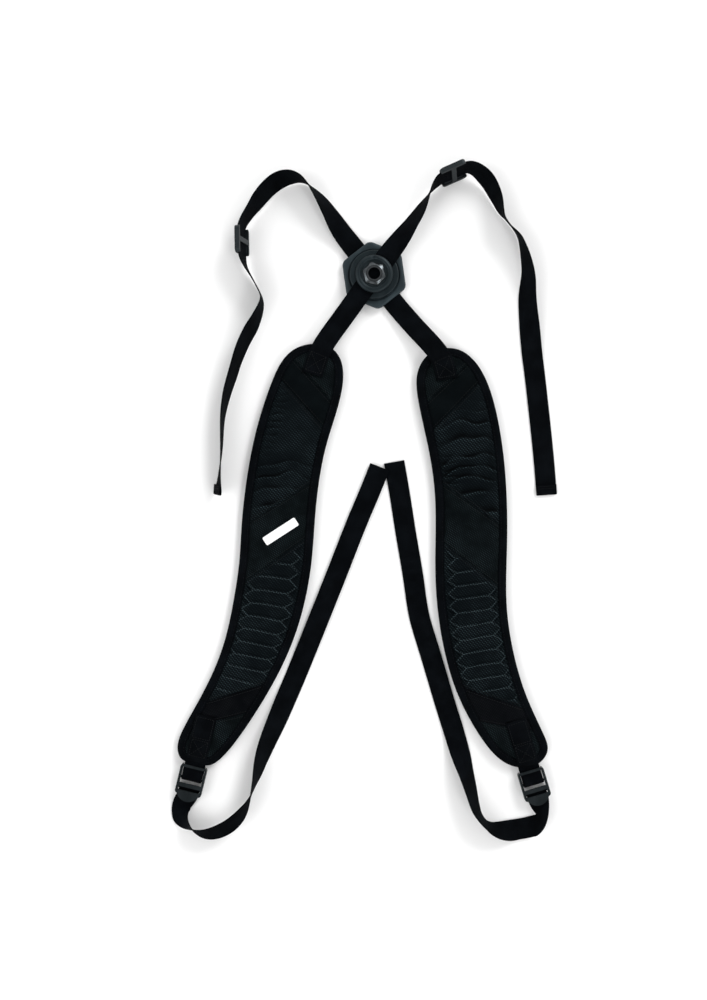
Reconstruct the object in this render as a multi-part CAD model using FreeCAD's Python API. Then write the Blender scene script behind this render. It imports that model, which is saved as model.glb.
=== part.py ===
import FreeCAD, Part
import math
import os

# Double shoulder strap harness, lying flat on its back, face up.
# Two padded shoulder straps hang on two crossing webbings, which a swivel hub pins together.
# Millimetres.  +Z is up from the surface it lies on, +Y runs from the pads to the hub's far side,
# and the origin is the hub's axis on the resting surface.

Vector = FreeCAD.Vector

# ---------------------------------------------------------------- driving dimensions
WEB_WIDTH = 25.0            # every webbing is 25 mm tape
WEB_THICKNESS = 1.6
WEB_REST_GAP = 0.06         # smallest height of a webbing's lowest edge
HEM_LENGTH = 11.5           # folded and sewn end of each upper tail
HEM_THICKNESS = 4.2

BACK_HEADING = 126.0        # direction in which the back webbing leaves the hub, degrees from +X
FRONT_HEADING = 54.0        # direction in which the front webbing leaves the hub
FIT_GAP = 0.05              # running clearance between the hub's turning and fixed pieces
SEAT_GAP = 0.02             # round the post in the pieces that are fixed to it

COVER_RADIUS = 31.0
COVER_FLOOR = 3.0           # top of the back cover's floor, where the back webbing lies
PLATE_APOTHEM = 36.5        # hexagonal plate, half its width across flats
PLATE_TURN = 8.0            # direction of the first flat's normal
PLATE_CORNER = 9.0
PLATE_THICKNESS = 4.0
WASHER_RADIUS = 26.0
WASHER_THICKNESS = 0.8
DISC_RADIUS = 29.4
DISC_THICKNESS = 4.9
CHANNEL_WIDTH = 25.8        # guide channel that holds a webbing square in the hub
CHANNEL_DEPTH = 1.65
CAP_RADIUS = 22.8
CAP_HEIGHT = 4.6
CAP_RECESS_RADIUS = 16.4
CAP_FLOOR = 1.4
POST_RADIUS = 9.0
POST_BORE_RADIUS = 7.2
POST_FLANGE_RADIUS = 13.0
WEB_HOLE_RADIUS = 9.3
NUT_FLATS = 25.4
NUT_HEIGHT = 2.4

PAD_EDGE_LOW = 1.1          # binding tape, bottom and top of the pad's edge
PAD_EDGE_HIGH = 11.9
BINDING_THICKNESS = 1.2
BINDING_WIDTH = 9.0
LINING_THICKNESS = 1.5
FOAM_TOP = 12.4
PANEL_THICKNESS = 1.4

LOCK_WIDTH = 32.4
LOCK_LENGTH = 44.0
LOCK_INNER_WIDTH = 27.0
LOCK_TOP = 10.2
LOCK_BASE = 2.6
ANCHOR_BAR = (16.4, 4.9, 1.5)     # distance from the head, height, radius
GRIP_BAR = (29.3, 3.9, 1.3)
STRAND_LEVEL = 6.2                # middle of the strap where it leaves the grip bar
LOOP_DEPTH_IN_PAD = 18.0

GLIDE_LENGTH = 33.0
GLIDE_WIDTH = 33.0
GLIDE_INNER_WIDTH = 26.8
GLIDE_THICKNESS = 6.0
GLIDE_BAR_GAP = 0.45        # between the webbing and each bar that it passes
GLIDE_STRAIGHT = 17.0       # half the straight stretch of webbing at a glide
GLIDE_LIFT = 4.8            # the glide's lower rail lies under the webbing's lower edge

# Placed things: (x, y) of the reference point and the heading in degrees.
LOCK_LEFT = (-217.8, -595.7, -103.8)
LOCK_RIGHT = (189.0, -600.6, -73.3)
GLIDE_LEFT = (-159.5, 39.5, -89.0, 106.0)       # heading, then the webbing's roll there
GLIDE_RIGHT = (95.5, 121.0, 24.0, -108.0)

# Level of each hub layer, from the resting surface up.
PLATE_BASE = COVER_FLOOR + CHANNEL_DEPTH
PLATE_TOP = PLATE_BASE + PLATE_THICKNESS
DISC_BASE = PLATE_TOP + WASHER_THICKNESS + FIT_GAP
DISC_TOP = DISC_BASE + DISC_THICKNESS
CAP_BASE = DISC_TOP
CAP_TOP = CAP_BASE + CAP_HEIGHT
NUT_BASE = CAP_BASE + CAP_FLOOR + FIT_GAP
POST_TOP = NUT_BASE + NUT_HEIGHT + 0.3
BACK_WEB_LIFT = COVER_FLOOR + 0.02
FRONT_WEB_LIFT = DISC_TOP - CHANNEL_DEPTH + 0.02
PAD_WEB_LIFT = FOAM_TOP + PANEL_THICKNESS + 0.1

# ---------------------------------------------------------------- webbing routes
# Each station is (x, y, roll, lift): the webbing's middle line in plan, its roll about that line
# in degrees (positive raises the edge on the left of the direction of travel) and the height of
# its lowest edge above the resting surface.


def along(place, distance, aside=0.0):
    """Plan point at a distance along a placed thing's heading, and aside to its left."""
    turn = math.radians(place[2])
    x = place[0] + distance * math.cos(turn) - aside * math.sin(turn)
    y = place[1] + distance * math.sin(turn) + aside * math.cos(turn)
    return x, y


def straight_run(place, half_length, roll, lift, count=5):
    """Stations of a straight stretch, centred on a placed thing."""
    run = []
    for index in range(count):
        step = half_length * (2.0 * index / (count - 1) - 1.0)
        x, y = along(place, step)
        run.append((x, y, roll, lift))
    return run


def back_webbing_route():
    """From the right pad, under the hub plate, over the upper left arch and down the left tail."""
    hub = (0.0, 0.0, BACK_HEADING)
    route = [(88.0, -127.0, 0, PAD_WEB_LIFT), (82.0, -104.0, 0, PAD_WEB_LIFT),
             (70.0, -86.5, 0, 13.2), (48.5, -62.0, 0, 6.8)]
    route += straight_run(hub, 37.5, 0, BACK_WEB_LIFT, 7)
    route += [(-39.5, 53.0, 15, 0.6), (-53.0, 74.0, 39, 0.3), (-65.0, 92.0, 57, 0.3),
              (-77.0, 106.0, 77, 0.6), (-85.0, 113.0, 90, 1.0), (-92.5, 116.5, 103, 1.0),
              (-103.0, 117.5, 120, 1.0), (-119.5, 111.5, 134, 1.2), (-138.0, 92.5, 128, 2.4),
              (-150.5, 74.0, 112, 4.2)]
    route += straight_run(GLIDE_LEFT, GLIDE_STRAIGHT, GLIDE_LEFT[3], GLIDE_LIFT)
    route += [(-155.5, 9.5, 98, 4.0), (-148.0, -4.0, 92, 1.8), (-141.0, -17.0, 90, 0.5),
              (-136.5, -27.0, 91, 0), (-136.5, -36.0, 99, 0), (-142.0, -51.5, 112, 0),
              (-150.0, -67.0, 122, 0), (-157.0, -80.5, 120, 0), (-163.0, -95.0, 117, 0),
              (-167.5, -108.5, 113, 0), (-171.5, -122.0, 112, 0), (-177.0, -140.0, 108, 0),
              (-181.0, -158.0, 102, 0), (-183.5, -177.0, 95, 0), (-184.5, -207.0, 89, 0),
              (-186.0, -229.0, 83, 0), (-187.5, -247.0, 76, 0), (-188.5, -261.0, 66, 0)]
    return route


def front_webbing_route():
    """From the left pad, over the hub disc, round the upper right arch and down the right tail."""
    hub = (0.0, 0.0, FRONT_HEADING)
    route = [(-74.5, -121.0, 0, PAD_WEB_LIFT), (-70.0, -106.0, 0, PAD_WEB_LIFT),
             (-62.0, -87.5, 0, PAD_WEB_LIFT), (-38.0, -53.0, 0, 13.4)]
    route += straight_run(hub, 30.0, 0, FRONT_WEB_LIFT, 5)
    route += [(32.5, 44.0, -22, 8.4), (43.5, 59.5, -42, 5.4), (55.0, 76.5, -56, 4.4),
              (64.0, 92.5, -78, 4.4), (71.5, 105.0, -98, 4.7)]
    route += straight_run(GLIDE_RIGHT, GLIDE_STRAIGHT, GLIDE_RIGHT[3], GLIDE_LIFT)
    route += [(121.5, 126.5, -114, 4.2), (135.5, 115.5, -126, 1.8), (144.0, 102.0, -122, 0.8),
              (149.5, 89.5, -112, 0.5), (152.5, 80.5, -102, 0.4), (155.0, 74.0, -92, 0.4),
              (159.0, 67.0, -80, 0.4), (165.0, 59.0, -77, 0.4), (171.0, 52.0, -82, 0.4),
              (176.0, 44.5, -90, 0.4), (179.5, 35.0, -98, 0.2), (182.0, 26.0, -105, 0),
              (184.0, 17.0, -111, 0), (186.0, 5.0, -119, 0), (186.5, -7.0, -129, 0),
              (186.0, -18.5, -137, 0), (186.0, -31.0, -143, 0), (187.5, -48.5, -151, 0),
              (189.5, -66.5, -162, 0), (192.0, -90.5, -172, 0), (195.0, -113.0, -179, 0),
              (199.5, -151.5, -180, 0), (204.0, -193.0, -180, 0), (208.0, -235.0, -180, 0),
              (210.0, -261.0, -180, 0)]
    return route


def left_strap_route():
    """From the left ladder lock's grip bar, round the lower left loop, to the free end."""
    strand_lift = STRAND_LEVEL - 0.5 * WEB_THICKNESS
    route = [along(LOCK_LEFT, GRIP_BAR[0]) + (0, strand_lift), along(LOCK_LEFT, 32.5) + (0, 5.1),
             along(LOCK_LEFT, 36.5) + (0, 4.5), along(LOCK_LEFT, 42.5, -1.9) + (0, 3.0),
             (-235.0, -643.5, 0, 1.0), (-235.5, -653.0, 6, 0.2), (-231.5, -661.5, 33, 0),
             (-224.5, -668.5, 60, 0), (-217.5, -673.0, 77, 0), (-210.5, -675.5, 90, 0),
             (-202.0, -676.5, 103, 0), (-193.5, -675.5, 113, 0), (-182.5, -671.5, 120, 0),
             (-171.5, -664.5, 122, 0), (-161.5, -654.5, 117, 0), (-154.5, -644.0, 105, 0),
             (-149.0, -630.5, 90, 0), (-145.0, -617.5, 79, 0), (-141.5, -606.0, 67, 0),
             (-138.5, -594.0, 56, 0), (-134.0, -579.5, 43, 0), (-127.5, -562.5, 31, 0),
             (-118.0, -540.5, 17, 0), (-108.5, -518.0, 6, 0), (-98.0, -493.5, 0, 0),
             (-87.5, -468.0, 0, 0.4), (-77.0, -442.0, 0, 1.6), (-66.0, -414.5, 0, 2.2),
             (-43.5, -358.0, 0, 2.2), (-20.5, -299.5, 0, 2.2), (-5.5, -264.0, 0, 2.2),
             (7.0, -232.5, 0, 2.2)]
    return route


def right_strap_route():
    """From the right ladder lock's grip bar, round the lower right loop, to the free end."""
    strand_lift = STRAND_LEVEL - 0.5 * WEB_THICKNESS
    route = [along(LOCK_RIGHT, GRIP_BAR[0]) + (0, strand_lift), along(LOCK_RIGHT, 32.5) + (0, 5.1),
             along(LOCK_RIGHT, 36.5) + (0, 4.4), along(LOCK_RIGHT, 40.5, 0.1) + (1, 2.8),
             along(LOCK_RIGHT, 44.5, 0.3) + (6, 0.8), along(LOCK_RIGHT, 48.5, 0.6) + (34, 0.2),
             (204.0, -652.0, 60, 0),
             (203.0, -659.5, 66, 0), (198.5, -666.5, 38, 0), (189.5, -671.0, 8, 0),
             (178.0, -673.5, 5, 0), (165.0, -674.5, 24, 0), (153.0, -673.5, 48, 0),
             (143.0, -670.5, 67, 0), (135.0, -665.0, 78, 0), (128.5, -657.0, 74, 0),
             (123.0, -645.5, 63, 0), (117.5, -625.0, 52, 0), (111.5, -603.5, 40, 0),
             (104.0, -578.0, 14, 0), (96.0, -551.0, 2, 0), (87.5, -524.0, 0, 0),
             (66.5, -453.5, 0, 0), (54.5, -411.5, 0, 0), (48.0, -368.5, 0, 0),
             (39.5, -318.0, 0, 0), (32.0, -270.0, 0, 0), (24.5, -226.5, 0, 0)]
    return route


# ---------------------------------------------------------------- pads
# Outline points run once round each pad, the long sides as smooth curves.
PAD_LEFT = [(-74, -84), (-94, -89), (-110, -103), (-124, -131), (-141, -183), (-153, -241),
            (-160, -300), (-163, -346), (-170, -395), (-185, -457), (-212, -516), (-233, -555),
            (-238, -575), (-232, -588), (-217, -592), (-201, -594.5), (-184, -584), (-155, -547),
            (-116, -482), (-91, -420), (-77, -352), (-71, -280), (-60, -212), (-46, -165),
            (-38, -124), (-43, -99), (-56, -87)]
PAD_RIGHT = [(77, -91), (62, -101), (53, -120), (54.5, -153), (67, -212), (75, -275), (75, -346),
             (77.5, -402), (87, -460), (107, -520), (139, -573), (157, -590), (173, -596.5),
             (188, -596), (201, -591), (210, -577), (205, -557), (184, -510), (167, -450),
             (160, -392), (161, -320), (159, -245), (151, -182), (137, -131), (119, -102), (99, -90)]

# Seams across each pad's face, from the pad's top down, each given by two points.
SEAMS_LEFT = [((-100, -100), (-52, -154)), ((-110, -131), (-64, -183)), ((-149, -299), (-79, -254)),
              ((-155, -371), (-78, -316)), ((-197, -515), (-122, -492)), ((-201, -542), (-155, -531))]
SEAMS_RIGHT = [((109, -112), (65, -154)), ((126, -132), (75, -185)), ((150, -302), (82, -253)),
               ((150, -378), (84, -324)), ((176, -523), (111, -501)), ((192, -552), (132, -542))]
PANEL_NAMES = ["top_panel", "upper_band", "upper_quilt", "plain_panel", "lower_quilt",
               "lower_band", "end_panel"]

BADGE_CENTRE = (-113.0, -311.0)
BADGE_SIZE = (46.0, 11.0, 0.6)
BADGE_TURN = 33.0


# ---------------------------------------------------------------- helpers
def save(name, shape):
    """Write one node, and report whether its solids are sound."""
    print(name, "solids", len(shape.Solids), "valid", shape.isValid(), "volume", round(shape.Volume, 1))
    shape.exportStep("parts/" + name + ".step")


def spline_through(points, parameters, periodic=False):
    curve = Part.BSplineCurve()
    curve.interpolate(Points=points, Parameters=parameters, PeriodicFlag=periodic)
    return curve


def spaced_parameters(points):
    """One rising parameter per point, so that close points don't make the curve swing."""
    values = [0.0]
    for before, after in zip(points, points[1:]):
        values.append(values[-1] + math.sqrt(before.distanceToPoint(after)))
    return values


def ruled_face(curve_a, curve_b):
    """Face of straight lines between two curves with the same knots."""
    surface = Part.BSplineSurface()
    surface.buildFromPolesMultsKnots([curve_a.getPoles(), curve_b.getPoles()], [2, 2],
                                     curve_a.getMultiplicities(), [0.0, 1.0], curve_a.getKnots(),
                                     False, False, 1, curve_a.Degree)
    return surface.toShape()


def eased(knots, values, position):
    """Value at a position between stations, smooth and without overshoot."""
    slopes = [(v1 - v0) / (k1 - k0)
              for k0, k1, v0, v1 in zip(knots, knots[1:], values, values[1:])]
    index = min(sum(1 for knot in knots[1:-1] if knot <= position), len(slopes) - 1)
    ends = []
    for station in (index, index + 1):
        before = slopes[max(station - 1, 0)]
        after = slopes[min(station, len(slopes) - 1)]
        ends.append(2 * before * after / (before + after) if before * after > 0 else 0.0)
    span = knots[index + 1] - knots[index]
    part = (position - knots[index]) / span
    rise = part * part * (3 - 2 * part)
    lead = part * (1 - part) * (1 - part) * ends[0] - part * part * (1 - part) * ends[1]
    return values[index] + (values[index + 1] - values[index]) * rise + span * lead


def resting_height(roll):
    """Height of the middle line when the tape's lowest edge is on the surface."""
    turn = math.radians(roll)
    return 0.5 * WEB_WIDTH * abs(math.sin(turn)) + 0.5 * WEB_THICKNESS * abs(math.cos(turn))


def tape_frame(tangent, roll):
    """Across-the-tape and through-the-tape directions for a tangent and a roll."""
    tangent = Vector(tangent).normalize()
    level = Vector(-tangent.y, tangent.x, 0).normalize()
    upright = tangent.cross(level)
    turn = math.radians(roll)
    across = level * math.cos(turn) + upright * math.sin(turn)
    return across, tangent.cross(across)


def tape(route, steps=4):
    """Solid tape of even width and thickness along a route of stations."""
    plan = [Vector(x, y, 0) for x, y, roll, lift in route]
    knots = spaced_parameters(plan)
    plan_curve = spline_through(plan, knots)
    station_rolls = [roll for x, y, roll, lift in route]
    station_lifts = [lift for x, y, roll, lift in route]
    values = []
    for before, after in zip(knots, knots[1:]):
        values += [before + (after - before) * step / steps for step in range(steps)]
    values.append(knots[-1])
    centres = []
    rolls = []
    for value in values:
        roll = eased(knots, station_rolls, value)
        point = plan_curve.value(value)
        point.z = resting_height(roll) + max(eased(knots, station_lifts, value), WEB_REST_GAP)
        centres.append(point)
        rolls.append(roll)
    corners = [[], [], [], []]
    last = len(centres) - 1
    for index, centre in enumerate(centres):
        tangent = centres[min(index + 1, last)] - centres[max(index - 1, 0)]
        across, through = tape_frame(tangent, rolls[index])
        half_across = across * (0.5 * WEB_WIDTH)
        half_through = through * (0.5 * WEB_THICKNESS)
        corners[0].append(centre - half_across - half_through)
        corners[1].append(centre + half_across - half_through)
        corners[2].append(centre + half_across + half_through)
        corners[3].append(centre - half_across + half_through)
    edges = [spline_through(line, values) for line in corners]
    faces = [ruled_face(edges[side], edges[(side + 1) % 4]) for side in range(4)]
    for end in (0, -1):
        ring = [corners[side][end] for side in range(4)]
        faces.append(Part.Face(Part.makePolygon(ring + ring[:1])))
    shell = Part.Shell(faces)
    shell.sewShape()
    solid = Part.Solid(shell)
    if solid.Volume < 0:
        solid.reverse()
    return solid


def place_flat(shape, place, height=0.0):
    """Turn a shape made along +X to a placed thing's heading and move it there."""
    moved = shape.copy()
    moved.rotate(Vector(0, 0, 0), Vector(0, 0, 1), place[2])
    moved.translate(Vector(place[0], place[1], height))
    return moved


def block(x0, x1, y0, y1, z0, z1):
    return Part.makeBox(x1 - x0, y1 - y0, z1 - z0, Vector(x0, y0, z0))


def disc(radius, z0, z1):
    return Part.makeCylinder(radius, z1 - z0, Vector(0, 0, z0))


def soften(shape, radius, wanted):
    """Round the edges that the test wants, and keep the plain shape if that can't be done."""
    edges = [edge for edge in shape.Edges if wanted(edge)]
    try:
        rounded = shape.makeFillet(radius, edges)
    except Exception:
        return shape
    return rounded if rounded.isValid() else shape


def at_level(level):
    def test(edge):
        box = edge.BoundBox
        return abs(box.ZMin - level) < 0.01 and abs(box.ZMax - level) < 0.01
    return test


# ---------------------------------------------------------------- hub
def rounded_polygon(corner_count, apothem, turn, corner_radius, z0, z1):
    """Upright prism with flat sides and rounded upright edges."""
    reach = apothem / math.cos(math.pi / corner_count)
    points = []
    for index in range(corner_count + 1):
        angle = math.radians(turn) + math.pi * (2 * index + 1) / corner_count
        points.append(Vector(reach * math.cos(angle), reach * math.sin(angle), z0))
    prism = Part.Face(Part.makePolygon(points)).extrude(Vector(0, 0, z1 - z0))
    return soften(prism, corner_radius, lambda edge: edge.BoundBox.ZLength > 0.5 * (z1 - z0))


def channel(heading, floor, top):
    """Space of a guide channel across the hub."""
    space = block(-60, 60, -0.5 * CHANNEL_WIDTH, 0.5 * CHANNEL_WIDTH, floor, top)
    return place_flat(space, (0, 0, heading))


def hub_back_cover():
    body = disc(COVER_RADIUS, 0, PLATE_BASE)
    body = soften(body, 1.2, at_level(0))
    body = body.cut(channel(BACK_HEADING, COVER_FLOOR, PLATE_BASE + 1))
    return body.cut(disc(POST_FLANGE_RADIUS + 0.1, 1.2, COVER_FLOOR + 1))


def hub_plate():
    plate = rounded_polygon(6, PLATE_APOTHEM, PLATE_TURN, PLATE_CORNER, PLATE_BASE, PLATE_TOP)
    plate = soften(plate, 1.4, at_level(PLATE_TOP))
    return plate.cut(disc(POST_RADIUS + SEAT_GAP, 0, PLATE_TOP + 1))


def hub_washer():
    ring = disc(WASHER_RADIUS, PLATE_TOP, PLATE_TOP + WASHER_THICKNESS)
    return ring.cut(disc(POST_RADIUS + SEAT_GAP, 0, DISC_TOP))


def hub_disc():
    body = disc(DISC_RADIUS, DISC_BASE, DISC_TOP)
    body = soften(body, 1.3, at_level(DISC_TOP))
    body = body.cut(channel(FRONT_HEADING, DISC_TOP - CHANNEL_DEPTH, DISC_TOP + 1))
    return body.cut(disc(POST_RADIUS + FIT_GAP, 0, DISC_TOP + 1))


def hub_cap():
    body = disc(CAP_RADIUS, CAP_BASE, CAP_TOP)
    body = soften(body, 1.8, at_level(CAP_TOP))
    body = body.cut(disc(CAP_RECESS_RADIUS, CAP_BASE + CAP_FLOOR, CAP_TOP + 1))
    body = body.cut(disc(POST_RADIUS + FIT_GAP, 0, CAP_TOP + 1))
    dimple = Part.makeCylinder(2.2, 2.0, Vector(0, CAP_RECESS_RADIUS + 2.6, CAP_TOP - 0.8))
    return body.cut(dimple)


def hub_post():
    body = disc(POST_FLANGE_RADIUS, 1.2, 2.8).fuse(disc(POST_RADIUS, 1.2, POST_TOP))
    body = body.cut(disc(POST_BORE_RADIUS, COVER_FLOOR, POST_TOP + 1))
    return body.removeSplitter()


def hub_nut():
    nut = rounded_polygon(6, 0.5 * NUT_FLATS, 15.0, 0.4, NUT_BASE, NUT_BASE + NUT_HEIGHT)
    chamfer = Part.makeCone(0.5 * NUT_FLATS + 3.6, 0.5 * NUT_FLATS - 0.2, NUT_HEIGHT,
                            Vector(0, 0, NUT_BASE))
    return nut.common(chamfer).cut(disc(POST_RADIUS + SEAT_GAP, 0, POST_TOP))


# ---------------------------------------------------------------- webbings
def hemmed(route):
    """Tape with a folded, sewn end at the last station, thicker than the rest."""
    x, y, roll, lift = route[-1]
    bx, by, _, _ = route[-2]
    heading = math.degrees(math.atan2(y - by, x - bx))
    hem = block(-0.5 * HEM_LENGTH, 0.5 * HEM_LENGTH, -0.5 * WEB_WIDTH - 0.4, 0.5 * WEB_WIDTH + 0.4,
                -0.5 * HEM_THICKNESS, 0.5 * HEM_THICKNESS)
    hem = soften(hem, 1.5, lambda edge: edge.BoundBox.YLength > WEB_WIDTH)
    hem.rotate(Vector(0, 0, 0), Vector(1, 0, 0), roll)
    level = -hem.BoundBox.ZMin
    hem = place_flat(hem, (x, y, heading), level)
    return tape(route).fuse(hem)


def main_webbing(route):
    return hemmed(route).cut(disc(WEB_HOLE_RADIUS, -1, CAP_TOP + 5))


def strap_end(place):
    """The strap's turn round the grip bar and its short end under the lock."""
    distance, height, radius = GRIP_BAR
    inner = STRAND_LEVEL - 0.5 * WEB_THICKNESS - height
    outer = inner + WEB_THICKNESS
    half = 0.5 * WEB_WIDTH
    ring = Part.makeCylinder(outer, WEB_WIDTH, Vector(distance, half, height), Vector(0, -1, 0))
    ring = ring.cut(Part.makeCylinder(inner, WEB_WIDTH, Vector(distance, half, height),
                                      Vector(0, -1, 0)))
    ring = ring.common(block(distance - outer - 1, distance, -half, half, 0, 20))
    leg = block(distance, distance + 10.5, -half, half, height - outer, height - inner)
    return place_flat(ring.fuse(leg), place)


def strap(route, place):
    return tape(route).fuse(strap_end(place))


def anchor_loop(place):
    """Webbing loop from inside the pad's end round the ladder lock's anchor bar."""
    distance, height, radius = ANCHOR_BAR
    inner = radius + 0.3
    outer = inner + WEB_THICKNESS
    half = 0.5 * WEB_WIDTH
    ring = Part.makeCylinder(outer, WEB_WIDTH, Vector(distance, half, height), Vector(0, -1, 0))
    ring = ring.cut(Part.makeCylinder(inner, WEB_WIDTH, Vector(distance, half, height),
                                      Vector(0, -1, 0)))
    ring = ring.common(block(distance, distance + outer + 1, -half, half, 0, 20))
    loop = ring
    for low, high in ((height + inner, height + outer), (height - outer, height - inner)):
        loop = loop.fuse(block(-LOOP_DEPTH_IN_PAD, distance, -half, half, low, high))
    return place_flat(loop.removeSplitter(), place)


# ---------------------------------------------------------------- buckles
def ladder_lock(place):
    """Moulded buckle: head, anchor, middle and grip bars between two rails, and a thumb tab."""
    half = 0.5 * LOCK_WIDTH
    inner = 0.5 * LOCK_INNER_WIDTH
    rail_end = 36.0
    body = block(0, 3.0, -half, half, 8.7, 10.8)
    for low, high in ((-half, -inner), (inner, half)):
        body = body.fuse(block(0, rail_end, low, high, LOCK_BASE, LOCK_TOP))
    body = body.fuse(block(22.6, 27.2, -half, half, 7.5, LOCK_TOP))
    body = body.fuse(block(31.4, rail_end, -half, half, 7.5, LOCK_TOP))
    for distance, height, radius in (ANCHOR_BAR, GRIP_BAR):
        bar = Part.makeCylinder(radius, 2 * inner + 1, Vector(distance, inner + 0.5, height),
                                Vector(0, -1, 0))
        body = body.fuse(bar)
    tab_radius = 14.6
    tab = Part.makeCylinder(tab_radius, 2.9, Vector(LOCK_LENGTH - tab_radius, 0, 7.5))
    tab = tab.common(block(31.4, LOCK_LENGTH + 1, -half, half, 7, 12))
    body = body.fuse(tab)
    outline = block(0, rail_end, -half, half, 0, 20)
    outline = soften(outline, 3.5, lambda edge: edge.BoundBox.ZLength > 10)
    beyond = block(rail_end, LOCK_LENGTH + 1, -tab_radius, tab_radius, 0, 20)
    return place_flat(body.common(outline.fuse(beyond)).removeSplitter(), place)


def tri_glide(place):
    """Moulded slide: the webbing passes over its end bars and under its middle bar."""
    x, y, heading, roll = place
    half_length = 0.5 * GLIDE_LENGTH
    half = 0.5 * GLIDE_WIDTH
    inner = 0.5 * GLIDE_INNER_WIDTH
    deep = 0.5 * GLIDE_THICKNESS
    near = 0.5 * WEB_THICKNESS + GLIDE_BAR_GAP
    body = block(-3.0, 3.0, -half, half, near, deep)
    for low, high in ((-half, -inner), (inner, half)):
        body = body.fuse(block(-half_length, half_length, low, high, -deep, deep))
    for low, high in ((-half_length, 4.5 - half_length), (half_length - 4.5, half_length)):
        body = body.fuse(block(low, high, -half, half, -deep, -near))
    outline = block(-half_length, half_length, -half, half, -10, 10)
    outline = soften(outline, 5.0, lambda edge: edge.BoundBox.ZLength > 10)
    body = body.common(outline).removeSplitter()
    turn = math.radians(heading)
    across, through = tape_frame(Vector(math.cos(turn), math.sin(turn), 0), roll)
    # The middle bar is on the side that faces up.
    if through.z < 0:
        body.rotate(Vector(0, 0, 0), Vector(1, 0, 0), 180)
    body.rotate(Vector(0, 0, 0), Vector(1, 0, 0), roll)
    return place_flat(body, place, resting_height(roll) + GLIDE_LIFT)


# ---------------------------------------------------------------- pad pieces
def outline_points(points, inset, count=72):
    """Points round a smooth closed outline, moved inwards by the inset."""
    ring = [Vector(x, y, 0) for x, y in points]
    curve = spline_through(ring, spaced_parameters(ring + ring[:1]), True)
    first, last = curve.FirstParameter, curve.LastParameter
    samples = []
    for index in range(count):
        value = first + (last - first) * index / count
        tangent = curve.tangent(value)[0]
        inward = Vector(-tangent.y, tangent.x, 0)
        samples.append(curve.value(value) + inward * inset)
    return samples


def pad_prism(points, inset, z0, z1):
    """Upright slab inside the pad's outline."""
    samples = outline_points(points, inset)
    curve = spline_through(samples, spaced_parameters(samples + samples[:1]), True)
    face = Part.Face(Part.Wire(curve.toShape()))
    solid = face.extrude(Vector(0, 0, z1 - z0))
    solid.translate(Vector(0, 0, z0))
    return solid


def below(seam):
    """Everything on the hub-away side of a seam line."""
    (x0, y0), (x1, y1) = seam
    heading = math.degrees(math.atan2(y1 - y0, x1 - x0))
    if x1 < x0:
        heading += 180.0
    region = block(-900, 900, -900, 0, -5, 60)
    return place_flat(region, (x0, y0, heading))


def pad_panels(points, seams):
    """Face panels, cut apart along the seams, from the pad's top down."""
    sheet = pad_prism(points, BINDING_WIDTH + 0.4, FOAM_TOP, FOAM_TOP + PANEL_THICKNESS)
    panels = []
    for seam in seams:
        region = below(seam)
        panels.append(sheet.cut(region))
        sheet = sheet.common(region)
    panels.append(sheet)
    return panels


def pad_binding(points):
    """Tape folded round the pad's edge, open towards the foam."""
    tape_solid = pad_prism(points, 0, PAD_EDGE_LOW, PAD_EDGE_HIGH)
    tape_solid = tape_solid.cut(pad_prism(points, BINDING_THICKNESS, PAD_EDGE_LOW + BINDING_THICKNESS,
                                          PAD_EDGE_HIGH - BINDING_THICKNESS))
    return tape_solid.cut(pad_prism(points, BINDING_WIDTH, 0, 20))


def pad_foam(points):
    edge_inset = BINDING_THICKNESS + 0.05
    edge = pad_prism(points, edge_inset, PAD_EDGE_LOW + edge_inset, PAD_EDGE_HIGH - edge_inset)
    middle = pad_prism(points, BINDING_WIDTH + 0.4, LINING_THICKNESS, FOAM_TOP)
    return edge.fuse(middle)


def anchor_patch(place):
    """Webbing sewn on the pad's face, in line with the ladder lock."""
    z0 = FOAM_TOP + PANEL_THICKNESS
    patch = block(-62, -14, -0.5 * WEB_WIDTH, 0.5 * WEB_WIDTH, z0, z0 + WEB_THICKNESS)
    return place_flat(patch, place)


def badge():
    """Plain raised bar, where such a strap carries its mark."""
    length, width, height = BADGE_SIZE
    bar = block(-0.5 * length, 0.5 * length, -0.5 * width, 0.5 * width, 0, height)
    bar = soften(bar, 0.3 * width, lambda edge: edge.BoundBox.ZLength > 0.5 * height)
    return place_flat(bar, BADGE_CENTRE + (BADGE_TURN,), FOAM_TOP + PANEL_THICKNESS)


def build_pad(side, points, seams, place):
    loop = anchor_loop(place)
    save("pad_foam_" + side, pad_foam(points).cut(loop))
    save("pad_lining_" + side, pad_prism(points, BINDING_WIDTH + 0.4, 0, LINING_THICKNESS))
    save("pad_binding_" + side, pad_binding(points).cut(loop))
    for name, panel in zip(PANEL_NAMES, pad_panels(points, seams)):
        save("pad_" + name + "_" + side, panel)
    save("anchor_patch_" + side, anchor_patch(place))
    save("anchor_loop_" + side, loop)


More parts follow.
